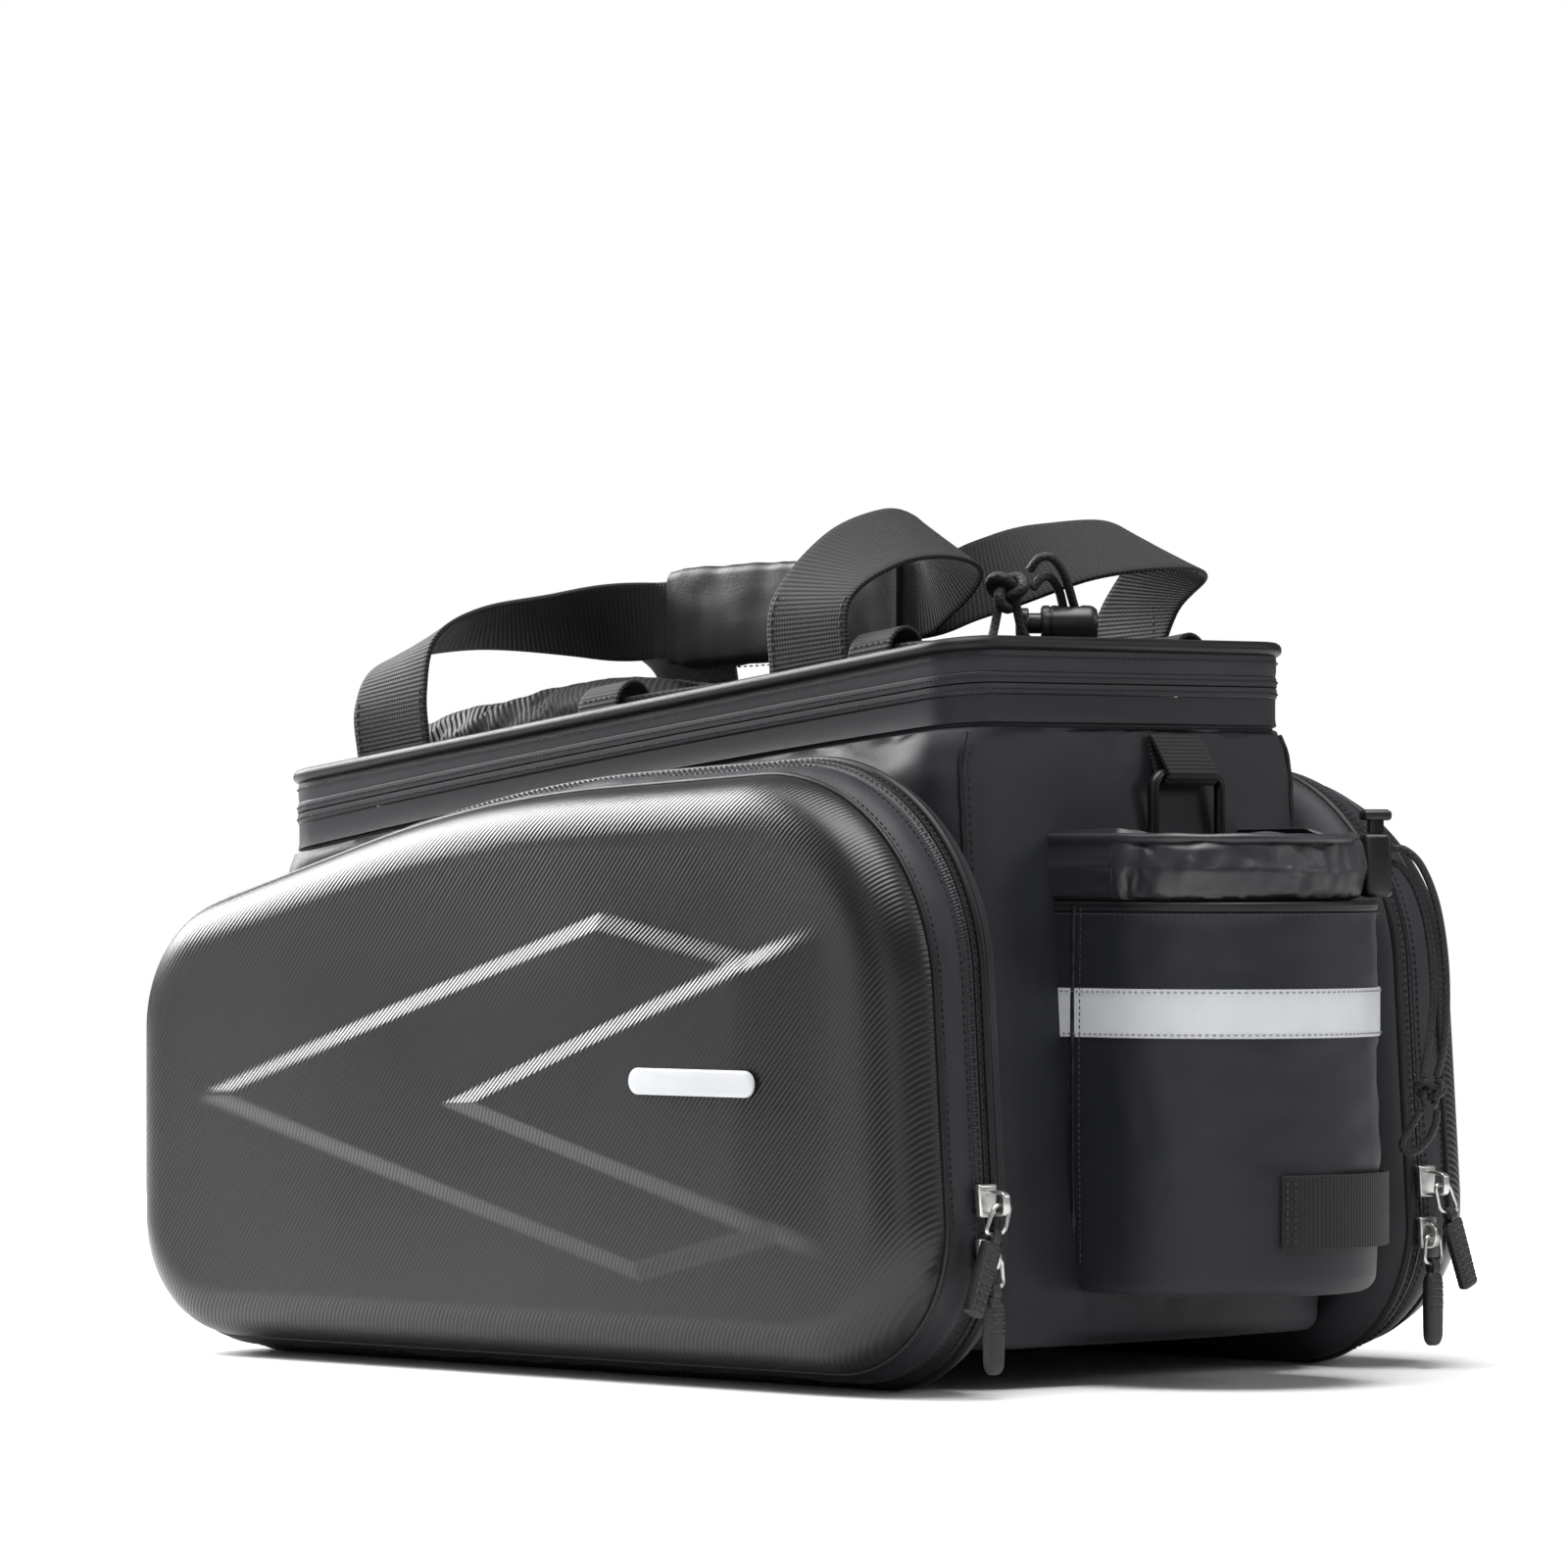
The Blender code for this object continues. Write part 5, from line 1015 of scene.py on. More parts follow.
def make_lid():
    """The lid's upper strip, its rounded edge and its crowned top, with the piping round the edge."""
    rings = [lid_ring(lambda x: zip_height(x) + ZIP_WIDTH / 2)]
    for share in (0.35, 0.7, 1.0):
        rings.append(lid_ring(
            lambda x: (zip_height(x) + ZIP_WIDTH / 2) * (1 - share) + (lid_edge(x) - LID_EDGE) * share,
            -0.0003))
    for step in range(1, 7):
        angle = math.pi / 2 * step / 6
        drop, inset = LID_EDGE * (1 - math.sin(angle)), LID_EDGE * (1 - math.cos(angle))
        rings.append(lid_ring(lambda x: lid_edge(x) - drop, inset))
    for share in np.linspace(0.08, 0.97, 24):
        ring = lid_ring(lid_edge, HALF_WIDTH * share)
        ring[:, 2] = [lid_surface(x, y) for x, y in ring[:, :2]]
        rings.append(ring)
    last = rings[-1].copy()
    last[:, 1] = 0
    last[:, 2] = [lid_surface(x, 0.0) for x in last[:, 0]]
    rings.append(last)
    piece = skin("lid_top", rings, outside=(0.0, 0.0, 0.1))
    at = points_of(piece)
    top = at[:, 2] > [lid_surface(x, y) - 0.0006 for x, y in at[:, :2]]
    inner = top & (np.abs(at[:, 1]) < HALF_WIDTH - 0.008) & (np.abs(at[:, 0]) < HALF_LENGTH - 0.008)
    swell(piece, np.where(inner, 0.0005 * soft_noise(at, 0.07, 21), 0))
    add_wall(piece, BODY_WALL)
    # The lid's cloth is painted lighter, as painted light from above.
    finish(piece, LID_CLOTH_PAINTED_LIGHT, ["lid_tray"])
    ring = lid_ring(lambda x: lid_edge(x) - LID_EDGE / 2 + 0.0014, LID_EDGE / 2 - 0.0016)
    finish(tube("lid_edge_piping", ring, 0.0024, 14, closed=True), PIPING, ["lid_piping"])
    under = closed_line(lid_ring(lambda x: lid_edge(x) - LID_EDGE - 0.0016, -0.0006))
    finish(stitches("lid_edge_stitches", [under], 0.0026, 0.0018, 0.00028), DARK_THREAD)


# Panniers

def edge_distance(points, start, end, inner):
    """How far each point lies from the line through start and end, on the side of the inner point."""
    start, end = np.array(start), np.array(end)
    way = (end - start) / np.linalg.norm(end - start)
    normal = np.array([-way[1], way[0]])
    if (np.array(inner) - start).dot(normal) < 0:
        normal = -normal
    return (points - start) @ normal


def inside_distance(points, tip, first, second):
    """How far each point lies inside both arms of a corner: the less of the distances."""
    return np.minimum(edge_distance(points, tip, first, second), edge_distance(points, tip, second, first))


def shell_place(share):
    """The place in the side view at these shares of the pannier's length and rear height."""
    return (PANNIER_FRONT + share[0] * (PANNIER_REAR - PANNIER_FRONT),
            PANNIER_BOTTOM + share[1] * PANNIER_REAR_HEIGHT)


def ramp(distance, width):
    """0 outside, 1 from one width inside, with both ends a little eased."""
    share = np.clip(distance / width, 0, 1)
    return share * 0.75 + 0.25 * eased(share)


def arrow_height(flat):
    """How far the arrow panels stand out of the shell at each place of the side view."""
    tip, up, low = (shell_place(share) for share in (ARROW_TIP, ARROW_UP, ARROW_LOW))
    inner, inner_up, inner_low = (shell_place(share) for share in (INNER_TIP, INNER_UP, INNER_LOW))
    outer = inside_distance(flat, tip, up, low)
    wedge = inside_distance(flat, inner, inner_up, inner_low)
    for corner, end in ((up, ARROW_UP_END), (low, ARROW_LOW_END)):
        outer = np.minimum(outer, edge_distance(flat, corner, shell_place(end), inner))
    first = np.maximum(outer, wedge)
    fade = 1 - eased(np.clip((flat[:, 0] - PANEL_FADE_X) / PANEL_FADE, 0, 1))
    return PANEL_RISE * (ramp(first, PANEL_BEVEL) + ramp(wedge, PANEL_BEVEL)) * fade


def outline_distance(flat, outline):
    """Distance from each point to a closed outline."""
    found = np.full(len(flat), 9.0)
    for start, end in zip(outline, np.roll(outline, -1, 0)):
        way = end - start
        share = np.clip(((flat - start) @ way) / max(way @ way, 1e-12), 0, 1)
        found = np.minimum(found, np.linalg.norm(flat - start - share[:, None] * way, axis=1))
    return found


def make_shell():
    """The moulded shell: a rounded rim, a crowned face and the raised arrow panels."""
    outline = read_even(pannier_ring(SHELL_SEAM_Y)[:, [0, 2]], 540)
    centre = np.array(shell_place((0.52, 0.44)))
    rim = (0, 0.0008, 0.003, 0.007, 0.012, 0.02, 0.03, 0.042, 0.056, 0.072, 0.09, 0.11, 0.13, 0.15)
    outer = np.concatenate([1 - np.array(rim), np.linspace(0.842, 0.012, 142), [0.0]])
    inner = 0.985 - np.array([0.98, 0.93, 0.8, 0.65, 0.5, 0.35, 0.22, 0.14, 0.08, 0.04, 0.015, 0.0])
    rings = [shell_ring(outline, centre, share, 0.003) for share in (0.0, *inner)]
    rings += [shell_ring(outline, centre, share, 0.0) for share in outer]
    return skin("pannier_near_arrow_shell", rings)


def shell_ring(outline, centre, share, behind):
    """One ring of the shell's face, or of its inside when it lies behind the face by the wall."""
    flat = centre + (outline - centre) * share
    reach = SHELL_ROUNDING - behind
    rim = centre + (outline - centre) * (1 - behind * 7)
    away = outline_distance(flat, rim if behind else outline) if share > 0.6 else np.ones(len(flat))
    depth = (SHELL_DEPTH - behind) * np.sqrt(np.clip(1 - (1 - np.clip(away / reach, 0, 1)) ** 2, 0, 1))
    middle = shell_place((0.5, 0.45))
    long = (flat[:, 0] - middle[0]) / ((PANNIER_REAR - PANNIER_FRONT) / 2 - SHELL_ROUNDING)
    tall = (flat[:, 1] - middle[1]) / (PANNIER_REAR_HEIGHT / 2 - SHELL_ROUNDING)
    crown = SHELL_CROWN * np.clip(1 - long**2, 0, 1) * np.clip(1 - tall**2, 0, 1)
    out = SHELL_SEAM_Y + depth + crown + (0 if behind else arrow_height(flat))
    return np.stack([flat[:, 0], -out, flat[:, 1]], 1)


def make_panniers():
    """The near pannier's pieces, each with its mirror image on the far side."""
    middle = (0.0, -0.12, 0.09)
    back = BODY_HALF + GAP
    low = PIPING_Y - PIPING_RADIUS - GAP
    zip_low, zip_high = PANNIER_ZIP_Y - PANNIER_ZIP_WIDTH / 2, PANNIER_ZIP_Y + PANNIER_ZIP_WIDTH / 2
    near = []
    rings = pole_rows(pannier_ring(back, BACK_INSET), (0.0, 0.3, 0.6, 0.85), (0.01, -back, 0.09))
    for share in np.linspace(0, 1, 12):
        bulge = 1 - (1 - share) ** 1.9
        rings.append(pannier_ring(back + (low - back) * share, BACK_INSET * (1 - bulge)))
    near.append((skin("pannier_near_back", rings, outside=middle), CLOTH, "tub", PANNIER_WALL))
    rings = []
    for share, inset in ((0, 0.0002), (0.1, -0.0003), (0.42, -0.0006), (0.48, 0.0007), (0.52, 0.0007),
                         (0.58, -0.0006), (0.9, -0.0003), (1, 0.0002)):
        rings.append(pannier_ring(zip_low + (zip_high - zip_low) * share, inset))
    near.append((skin("pannier_near_zip_tape", rings, outside=middle), ZIP_TAPE, "zip", PANNIER_WALL))
    rings = []
    for share in np.linspace(0, 1, 14):
        bulge = 0.0012 * math.sin(math.pi * share)
        rings.append(pannier_ring(zip_high + GAP + (SHELL_SEAM_Y - zip_high - GAP * 2) * share, -bulge))
    gusset = skin("pannier_near_side", rings, outside=middle)
    at = points_of(gusset)
    edge = np.minimum(-at[:, 1] - zip_high, SHELL_SEAM_Y + at[:, 1])
    free = np.clip(edge / 0.004, 0, 1)
    swell(gusset, free * (0.0005 * soft_noise(at, 0.05, 31) + 0.00025 * soft_noise(at, 0.018, 32)))
    near.append((gusset, CLOTH, "gusset", PANNIER_WALL))
    near.append((make_shell(), SHELL, "shell", 0.0))
    ring = pannier_ring(PIPING_Y, PIPING_RADIUS - PIPING_PROUD)
    piping = tube("pannier_near_edge_piping", ring, PIPING_RADIUS, 12, closed=True)
    near.append((piping, PIPING, "piping", 0.0))
    rim = pannier_ring(SHELL_SEAM_Y, -0.0002)
    near.append((tube("pannier_near_rim_cord", rim, 0.0011, 10, closed=True), PIPING, None, 0.0))
    lines = [closed_line(pannier_ring(out, inset), 2)
             for out, inset in ((zip_low + 0.0013, -0.0008), (zip_high - 0.0013, -0.0008),
                                (zip_high + 0.0020, -0.0005), (SHELL_SEAM_Y - 0.0024, -0.0004))]
    near.append((stitches("pannier_near_stitches", lines, 0.0026, 0.0018, 0.00028), DARK_THREAD, None, 0.0))
    for piece, surface, node, thickness in near:
        if thickness:
            add_wall(piece, thickness)
        far = mirrored(piece, piece.name.replace("near", "far"))
        finish(piece, surface, [f"pannier_near_{node}"] if node else ())
        finish(far, surface, [f"pannier_far_{node}"] if node else ())


def make_shell_bar():
    """A plain blank reflective bar on the near shell."""
    long, tall = BAR_HALF_LENGTH, BAR_HALF_HEIGHT
    flat = rounded_outline(((long, -tall, tall, 8, 12), (long, tall, tall, 8, 40),
                            (-long, tall, tall, 8, 12), (-long, -tall, tall, 8, 40)))
    face = SHELL_SEAM_Y + SHELL_DEPTH + SHELL_CROWN * 0.75 + PANEL_RISE * 2
    rings = []
    for inset, out in ((0.0, 0.0), (0.0, 0.0008), (0.0006, 0.0014), (0.0014, 0.0016)):
        u, v = (flat * (1 - inset / np.array([long, tall]))).T
        rings.append(np.stack([BAR_X + u, np.full(len(flat), -face - out), BAR_Z + v], 1))
    rings = [*pole_rows(rings[0], (0.0, 0.5)), *rings, *pole_rows(rings[-1], (0.6, 0.2, 0.0))]
    finish(skin("shell_reflector_bar", rings), REFLECTIVE, angle=30)


# Zip sliders and their pulls

def outline_rear(z):
    """How far back the pannier's zip reaches at this height."""
    ring = pannier_ring(PANNIER_ZIP_Y - PANNIER_ZIP_WIDTH / 2)
    half = ring[ring[:, 0] > 0]
    found = []
    for (x1, _, z1), (x2, _, z2) in zip(half, half[1:]):
        if min(z1, z2) <= z <= max(z1, z2) and z1 != z2:
            found.append(x1 + (x2 - x1) * (z - z1) / (z2 - z1))
    return max(found)


def make_grip(name, matrix, whole):
    """A rubber grip with a relief of small pyramids, over its whole length or its upper half."""
    columns, rows = 40, 110
    half_w, half_t, long = GRIP_WIDTH / 2, GRIP_THICK / 2, GRIP_LENGTH
    rings = []
    for row in range(rows + 1):
        down = long * row / rows
        if whole:
            wide = half_w * (1 - 0.10 * (down / long)) * min(1.0, 0.72 + down / 0.004)
        else:
            wide = half_w * (0.90 + 0.10 * math.sin(math.pi * min(1, down / long)))
        near_end = min(down, long - down)
        round_end = math.sqrt(max(0.0, 1 - (1 - min(1.0, near_end / (0.0012 if whole else 0.0042))) ** 2))
        wide, thick = wide * (0.35 + 0.65 * round_end), half_t * (0.3 + 0.7 * round_end)
        ring = []
        for step in range(columns * 2):
            angle = TAU * step / (columns * 2)
            across, out = math.cos(angle), math.sin(angle)
            v = math.copysign(abs(across) ** 0.55, across) * wide
            u = math.copysign(abs(out) ** 0.55, out) * thick
            patterned = whole or down < long * 0.5
            if patterned and 0.002 < down < long - 0.0015 and abs(v) < wide - 0.0007:
                slopes = [1 - abs(place / 0.0028 % 1 * 2 - 1) for place in (down, v + 0.0098)]
                u += math.copysign(0.0011 * slopes[0] * slopes[1] - 0.0004, out) * abs(out) ** 0.5
            ring.append((u, v, -down))
        rings.append(np.array(ring))
    rings = pole_rows(rings[0], (0.0, 0.5)) + rings + pole_rows(rings[-1], (0.5, 0.0))
    piece = skin(name, rings)
    piece.data.transform(matrix)
    return piece


def make_slider(label, which, face, y, height, high):
    """A zip slider whose bridge reaches out to high."""
    base = block(f"{label}_slider_body_{which}", (SLIDER_THICK, SLIDER_WIDTH, SLIDER_LENGTH),
                 Matrix.Translation((face + SLIDER_THICK / 2, y, height)), 0.0009, 4, 1)
    # The slider narrows to its lower end, as on a real one.
    at = points_of(base)
    narrow = 1 - 0.22 * np.clip((height - at[:, 2]) / SLIDER_LENGTH + 0.5, 0, 1)
    at[:, 1] = y + (at[:, 1] - y) * narrow
    set_points(base, at)
    foot = face + SLIDER_THICK * 0.6
    arch = [(x, y, height + lift) for x, lift in ((foot, 0.0034), (high - 0.0012, 0.0026), (high, 0.0006),
                                                  (high, -0.0024), (high - 0.0012, -0.0042), (foot, -0.0044))]
    arch = even_route(arch, 0.0005)
    bridge = strap(f"{label}_bridge_{which}", arch, np.tile((0, 0.0030, 0), (len(arch), 1)), 0.0011, 4)
    activate(base, bridge)
    bpy.ops.object.join()
    finish(base, STEEL, [f"{label}_slider_{which}"])


def make_pull(label, which, eye, lean):
    """The wire ring that hangs from a slider's eye, and the rubber grip on it."""
    half, narrow = PULL_RING_WIDTH / 2, PULL_RING_WIDTH * 0.4
    flat = rounded_outline(((half, -PULL_RING_LENGTH, 0.0022, 8, 8), (narrow, 0.0, 0.0022, 8, 8),
                            (-narrow, 0.0, 0.0022, 8, 8), (-half, -PULL_RING_LENGTH, 0.0022, 8, 8)))
    ring = np.stack([np.zeros(len(flat)), flat[:, 0] - flat[:, 1] * math.tan(lean), flat[:, 1]], 1) + eye
    finish(tube(f"{label}_pull_wire_{which}", ring, PULL_RING_WIRE, 12, closed=True), STEEL,
           [f"{label}_pull_ring_{which}"])
    bar = eye + Vector((0.0, PULL_RING_LENGTH * math.tan(lean), -PULL_RING_LENGTH))
    hang = Matrix.Translation(bar) @ Matrix.Rotation(lean, 4, "X")
    top = -PULL_RING_WIRE - LUG_LENGTH
    grip = make_grip(f"{label}_rubber_grip_{which}", hang @ Matrix.Translation((0, 0, top)), which == "upper")
    side = [(0.0, top - 0.0012), (0.00135, top + 0.0002), (0.00145, -0.0004), (0.0009, 0.00115),
            (0.0, 0.0015)]
    loop = [(x, 0.0, z) for x, z in side] + [(-x, 0.0, z) for x, z in side[-2::-1]]
    loop = np.array([tuple(hang @ Vector(point)) for point in smooth_rows(loop, 5)])
    width = np.array(hang.to_3x3() @ Vector((0.0, 0.0034, 0.0)))
    lug = strap(f"{label}_lug_{which}", loop, np.tile(width, (len(loop), 1)), 0.0009, 4)
    activate(grip, lug)
    bpy.ops.object.join()
    finish(grip, RUBBER, [f"{label}_pull_grip_{which}"])


def make_pulls():
    """Two sliders on each pannier's zip. The upper one's pull hangs over the lower one, and leans."""
    for side_name, side in (("near", -1), ("far", 1)):
        for which, height, tilt, stand_off in (("upper", 0.052, 22.0, 0.0045), ("lower", 0.034, 0.0, 0.0)):
            label, y = f"pannier_{side_name}", side * SLIDER_Y
            ends = (height - SLIDER_LENGTH / 2, height + SLIDER_LENGTH / 2)
            face = max(outline_rear(z) for z in ends) + GAP
            high = face + SLIDER_THICK + BRIDGE_REACH + stand_off
            make_slider(label, which, face, y, height, high)
            eye = Vector((high - BRIDGE_REACH / 2, y, height - BRIDGE_DROP))
            make_pull(label, which, eye, side * math.radians(tilt))


# Handles

def handle_path():
    """The middle line of the near handle's webbing, with its width at each point."""
    rows = [(x * HALF_LENGTH, -(y * HALF_WIDTH + GRIP_GAP + HANDLE_THICK / 2), *rest)
            for x, y, *rest in HANDLE_ROWS]
    fine = smooth_rows(rows, HANDLE_STEPS)
    heights = [lid_edge(x) + rise * HANDLE_RISE for x, rise in fine[:, [0, 2]]]
    way = fine[:, 3:6] / np.linalg.norm(fine[:, 3:6], axis=1)[:, None]
    return np.stack([fine[:, 0], fine[:, 1], heights], 1), way * HANDLE_WIDTH * fine[:, 6:7]


def make_handles():
    centres, widths = handle_path()
    near = strap("handle_near_webbing", centres, widths, HANDLE_THICK, 14)
    lean = smooth_rows([(share,) for share in (*[0.0] * 9, 0.2, 0.65, 1.0, 0.9, 0.35, 0.0)], HANDLE_STEPS)
    far_centres = centres * (1, -1, 1) + lean * np.array(FAR_LEAN)
    far = strap("handle_far_webbing", far_centres, widths * (1, -1, 1), HANDLE_THICK, 14)
    finish(near, WEBBING, ["handle_near"])
    finish(far, WEBBING, ["handle_far"])
    lines = []
    for side in (-1, 1):
        for end in (slice(0, 12), slice(len(centres) - 12, len(centres))):
            for share in (-0.44, 0.44):
                line = (centres + widths * share)[end] * (1, -side, 1)
                out = np.array([0, side, 0.0])
                lines.append((line + out * (HANDLE_THICK / 2), out))
    finish(stitches("handle_foot_stitches", lines, 0.0028, 0.002, 0.0003), THREAD)


def make_sleeve():
    """The padded sleeve that holds both handles together, closed with a seam underneath."""
    centres, widths = handle_path()
    wide = np.linalg.norm(widths, axis=1)

    def webbing_at(x):
        """The height of the webbing's middle, and half its width."""
        return np.interp(x, centres[:, 0], centres[:, 2]), np.interp(x, centres[:, 0], wide) / 2

    thick = 0.0011 + HANDLE_THICK + GAP * 2 + 0.003
    rings = []
    for x in np.linspace(WRAP_START, WRAP_END, 60):
        z, half = webbing_at(x)
        end = min(x - WRAP_START, WRAP_END - x)
        tall = (half + GAP * 2 + 0.0040) * (1 - 0.06 * math.exp(-((end / 0.004) ** 2)))
        flat = rounded_outline([(u * thick, v * tall, 0.0038, 8, 5 if u == v else 12)
                                for u, v in ((1, -1), (1, 1), (-1, 1), (-1, -1))])
        rings.append(np.stack([np.full(len(flat), x), flat[:, 0], z + flat[:, 1]], 1))
    wrap = skin("handle_sleeve", rings, outside=(0.0, 0.0, webbing_at(0.0)[0]))
    at = points_of(wrap)
    inner = (at[:, 0] > WRAP_START + 0.003) & (at[:, 0] < WRAP_END - 0.003)
    swell(wrap, np.where(inner, 0.0004 * soft_noise(at, 0.03, 41) + 0.0002 * soft_noise(at, 0.011, 42), 0))
    settle(wrap, ~inner, 3.0, 0.0012, frames=10)
    add_wall(wrap, SLEEVE_WALL)
    finish(wrap, SLEEVE, ["handle_wrap"])
    bottom = []
    for x in np.linspace(WRAP_START + 0.002, WRAP_END - 0.002, 30):
        z, half = webbing_at(x)
        bottom.append((x, 0.0, z - half - 0.0050))
    finish(stitches("sleeve_stitches", [(bottom, (0, 0, -1))], 0.0030, 0.0021, 0.0003), DARK_THREAD)


# Top of the lid

def make_net():
    """The stretch net pocket: a puffed dome with a stitched elastic border."""
    corners = [(x, side * NET_HALF_WIDTH, 0.012, 8, 34)
               for x, side in ((NET_REAR, -1), (NET_REAR, 1), (NET_FRONT, 1), (NET_FRONT, -1))]
    rings = []
    for inset, rise in ((0.0, 0.0), (0.0, 0.10), (0.002, 0.34), (0.02, 0.5), (0.07, 0.66), (0.13, 0.77),
                        (0.2, 0.86), (0.3, 0.93), (0.42, 0.98), (0.55, 1.0), (0.7, 1.0), (0.85, 1.0),
                        (0.97, 1.0)):
        ring = rounded_outline(corners, inset * NET_HALF_WIDTH)
        rings.append([(x, y, lid_surface(x, y) + GAP + rise * NET_RISE) for x, y in ring])
    last = np.array(rings[-1])
    middle = last.mean(0)
    rings.append(middle + (last - middle) * (1, 0, 1))
    net = skin("net_pocket", rings, outside=(-0.09, 0.0, 0.19),
               uv=lambda at: np.stack([at[:, 0], at[:, 1] + at[:, 2] * 0.6], 1))
    apply_modifier(net, "SUBSURF", levels=1, render_levels=1)
    at = points_of(net)
    high = at[:, 2] - [lid_surface(x, y) for x, y in at[:, :2]]
    free = np.clip((high - 0.004) / 0.003, 0, 1)
    swell(net, free * (0.0006 * soft_noise(at, 0.028, 51) + 0.0003 * soft_noise(at, 0.012, 52)))
    settle(net, high < 0.0035, 2.0, 0.0022, frames=12, shrink=-0.03)
    add_wall(net, NET_WALL)
    finish(net, NET, ["lid_net_pocket"])
    border, edge = ([(x, y, lid_surface(x, y) + lift) for x, y in rounded_outline(corners, inset)]
                    for inset, lift in ((-0.0010, 0.0016), (-0.0026, 0.0003)))
    finish(tube("net_border", border, 0.0014, 10, closed=True), PIPING)
    finish(stitches("net_stitches", [([*edge, edge[0]], (0, 0, 1))], 0.0026, 0.0018, 0.0003), THREAD)


def make_tabs():
    """The four webbing tabs along the lid's edges, each sewn down by its two feet."""
    slope = (LID_REAR - LID_FRONT) / LID_LENGTH
    width = np.array(Vector((1.0, 0.0, slope)).normalized() * TAB_WIDTH)
    angles = np.linspace(0, math.pi, TAB_STEPS + 1)
    lines = []
    for where, x in (("front", TAB_FRONT_X), ("rear", TAB_REAR_X)):
        for side_name, side in (("near", -1), ("far", 1)):
            centres = []
            for angle in angles:
                out = math.cos(angle) * (0.86 + 0.14 * abs(math.cos(angle)))
                y = side * TAB_Y + TAB_SPAN / 2 * out
                centres.append((x, y, lid_surface(x, y) + GAP * 2 + TAB_RISE * abs(math.sin(angle)) ** 0.8))
            centres = np.array(centres)
            piece = strap(f"tab_{where}_{side_name}_webbing", centres, np.tile(width, (len(centres), 1)),
                          TAB_THICK, 10)
            finish(piece, WEBBING, [f"tab_{where}_{side_name}"])
            for foot in (4, 24):
                normal = np.array([0, math.copysign(1.0, centres[foot][1] - side * TAB_Y), 0.25])
                off = normal / np.linalg.norm(normal) * TAB_THICK / 2
                ends = centres[foot] - width * 0.42, centres[foot] + width * 0.42
                lines.append((np.linspace(*ends, 8) + off, normal))
    finish(stitches("tab_stitches", lines, 0.0024, 0.0017, 0.0003), THREAD)


def make_bungee():
    """The bungee over the lid, its knot, and the ends that run from the knot into the barrel lock."""
    route = [(x * HALF_LENGTH, y, lid_surface(x * HALF_LENGTH, y) + rise) for x, y, rise in BUNGEE_ROUTE]
    finish(tube("bungee_over_lid", even_route(route, 0.0016), BUNGEE_RADIUS, 14), ELASTIC, ["bungee_cord"])
    knot = even_route(knot_points(BUNGEE_KNOT, BUNGEE_RADIUS * 1.32), 0.0006, closed=True)
    knot = tube("bungee_overhand_knot", knot, BUNGEE_RADIUS * 1.3, 14, closed=True)
    finish(knot, ELASTIC, ["bungee_knot"])
    for name, points in BUNGEE_TAILS.items():
        piece = tube(f"bungee_end_{name}", even_route(points, 0.0007), BUNGEE_RADIUS, 14)
        finish(piece, ELASTIC, [f"bungee_tail_{name}"])


def cut_with(piece, cutter):
    """Cuts one piece with another, and removes the cutter."""
    apply_modifier(piece, "BOOLEAN", operation="DIFFERENCE", object=cutter, solver="EXACT")
    bpy.data.objects.remove(cutter, do_unlink=True)


def make_barrel_lock():
    """The barrel lock on the bungee, and its plunger."""
    turn = Matrix.Rotation(math.radians(45), 4, "Z")
    lying = Matrix.Translation(BARREL_AT) @ turn @ Matrix.Rotation(math.radians(-90), 4, "Y")
    half, radius, bore = BARREL_HALF, BARREL_RADIUS, BARREL_BORE
    profile = [(0.0, 0.0025 - half), (bore, 0.0025 - half), (bore, half - 0.0004), (bore + 0.0004, half),
               (radius - 0.0011, half), (radius - 0.0003, half - 0.0004), (radius, half - 0.0011),
               (radius, half - 0.0028), (radius - 0.0004, half - 0.0031), (radius - 0.0004, half - 0.0036),
               (radius, half - 0.0039), (radius, 0.0), (radius, 0.0030 - half),
               (radius - 0.0004, 0.0016 - half), (radius - 0.0014, 0.0004 - half), (radius - 0.003, -half), (0.0, -half)]
    body = turned("bungee_barrel", profile, lying, 56)
    above = Matrix.Translation(Vector(BARREL_AT) + Vector((0, 0, radius)))
    cut_with(body, block("port", (0.0086, 0.0048, 0.0084), above @ turn, 0.0016, 4))
    finish(body, PLASTIC, ["bungee_lock_body"], angle=32)
    low = half + LOCK_SLIDE + GAP
    high = low + 0.0045
    profile = [(0.0, high - 0.0003), (0.0030, high - 0.0001), (0.0042, high), (0.0050, high - 0.0005),
               (0.0054, high - 0.0012), (0.0054, low + 0.0005), (0.0050, low), (0.0036, low),
               (0.0036, half - 0.0042), (0.0033, half - 0.0045), (0.0, half - 0.0045)]
    plunger = turned("bungee_plunger_button", profile, lying, 56)
    finish(plunger, PLASTIC, ["bungee_lock_plunger"], "bungee_plunger", 32)


# Bottle pocket

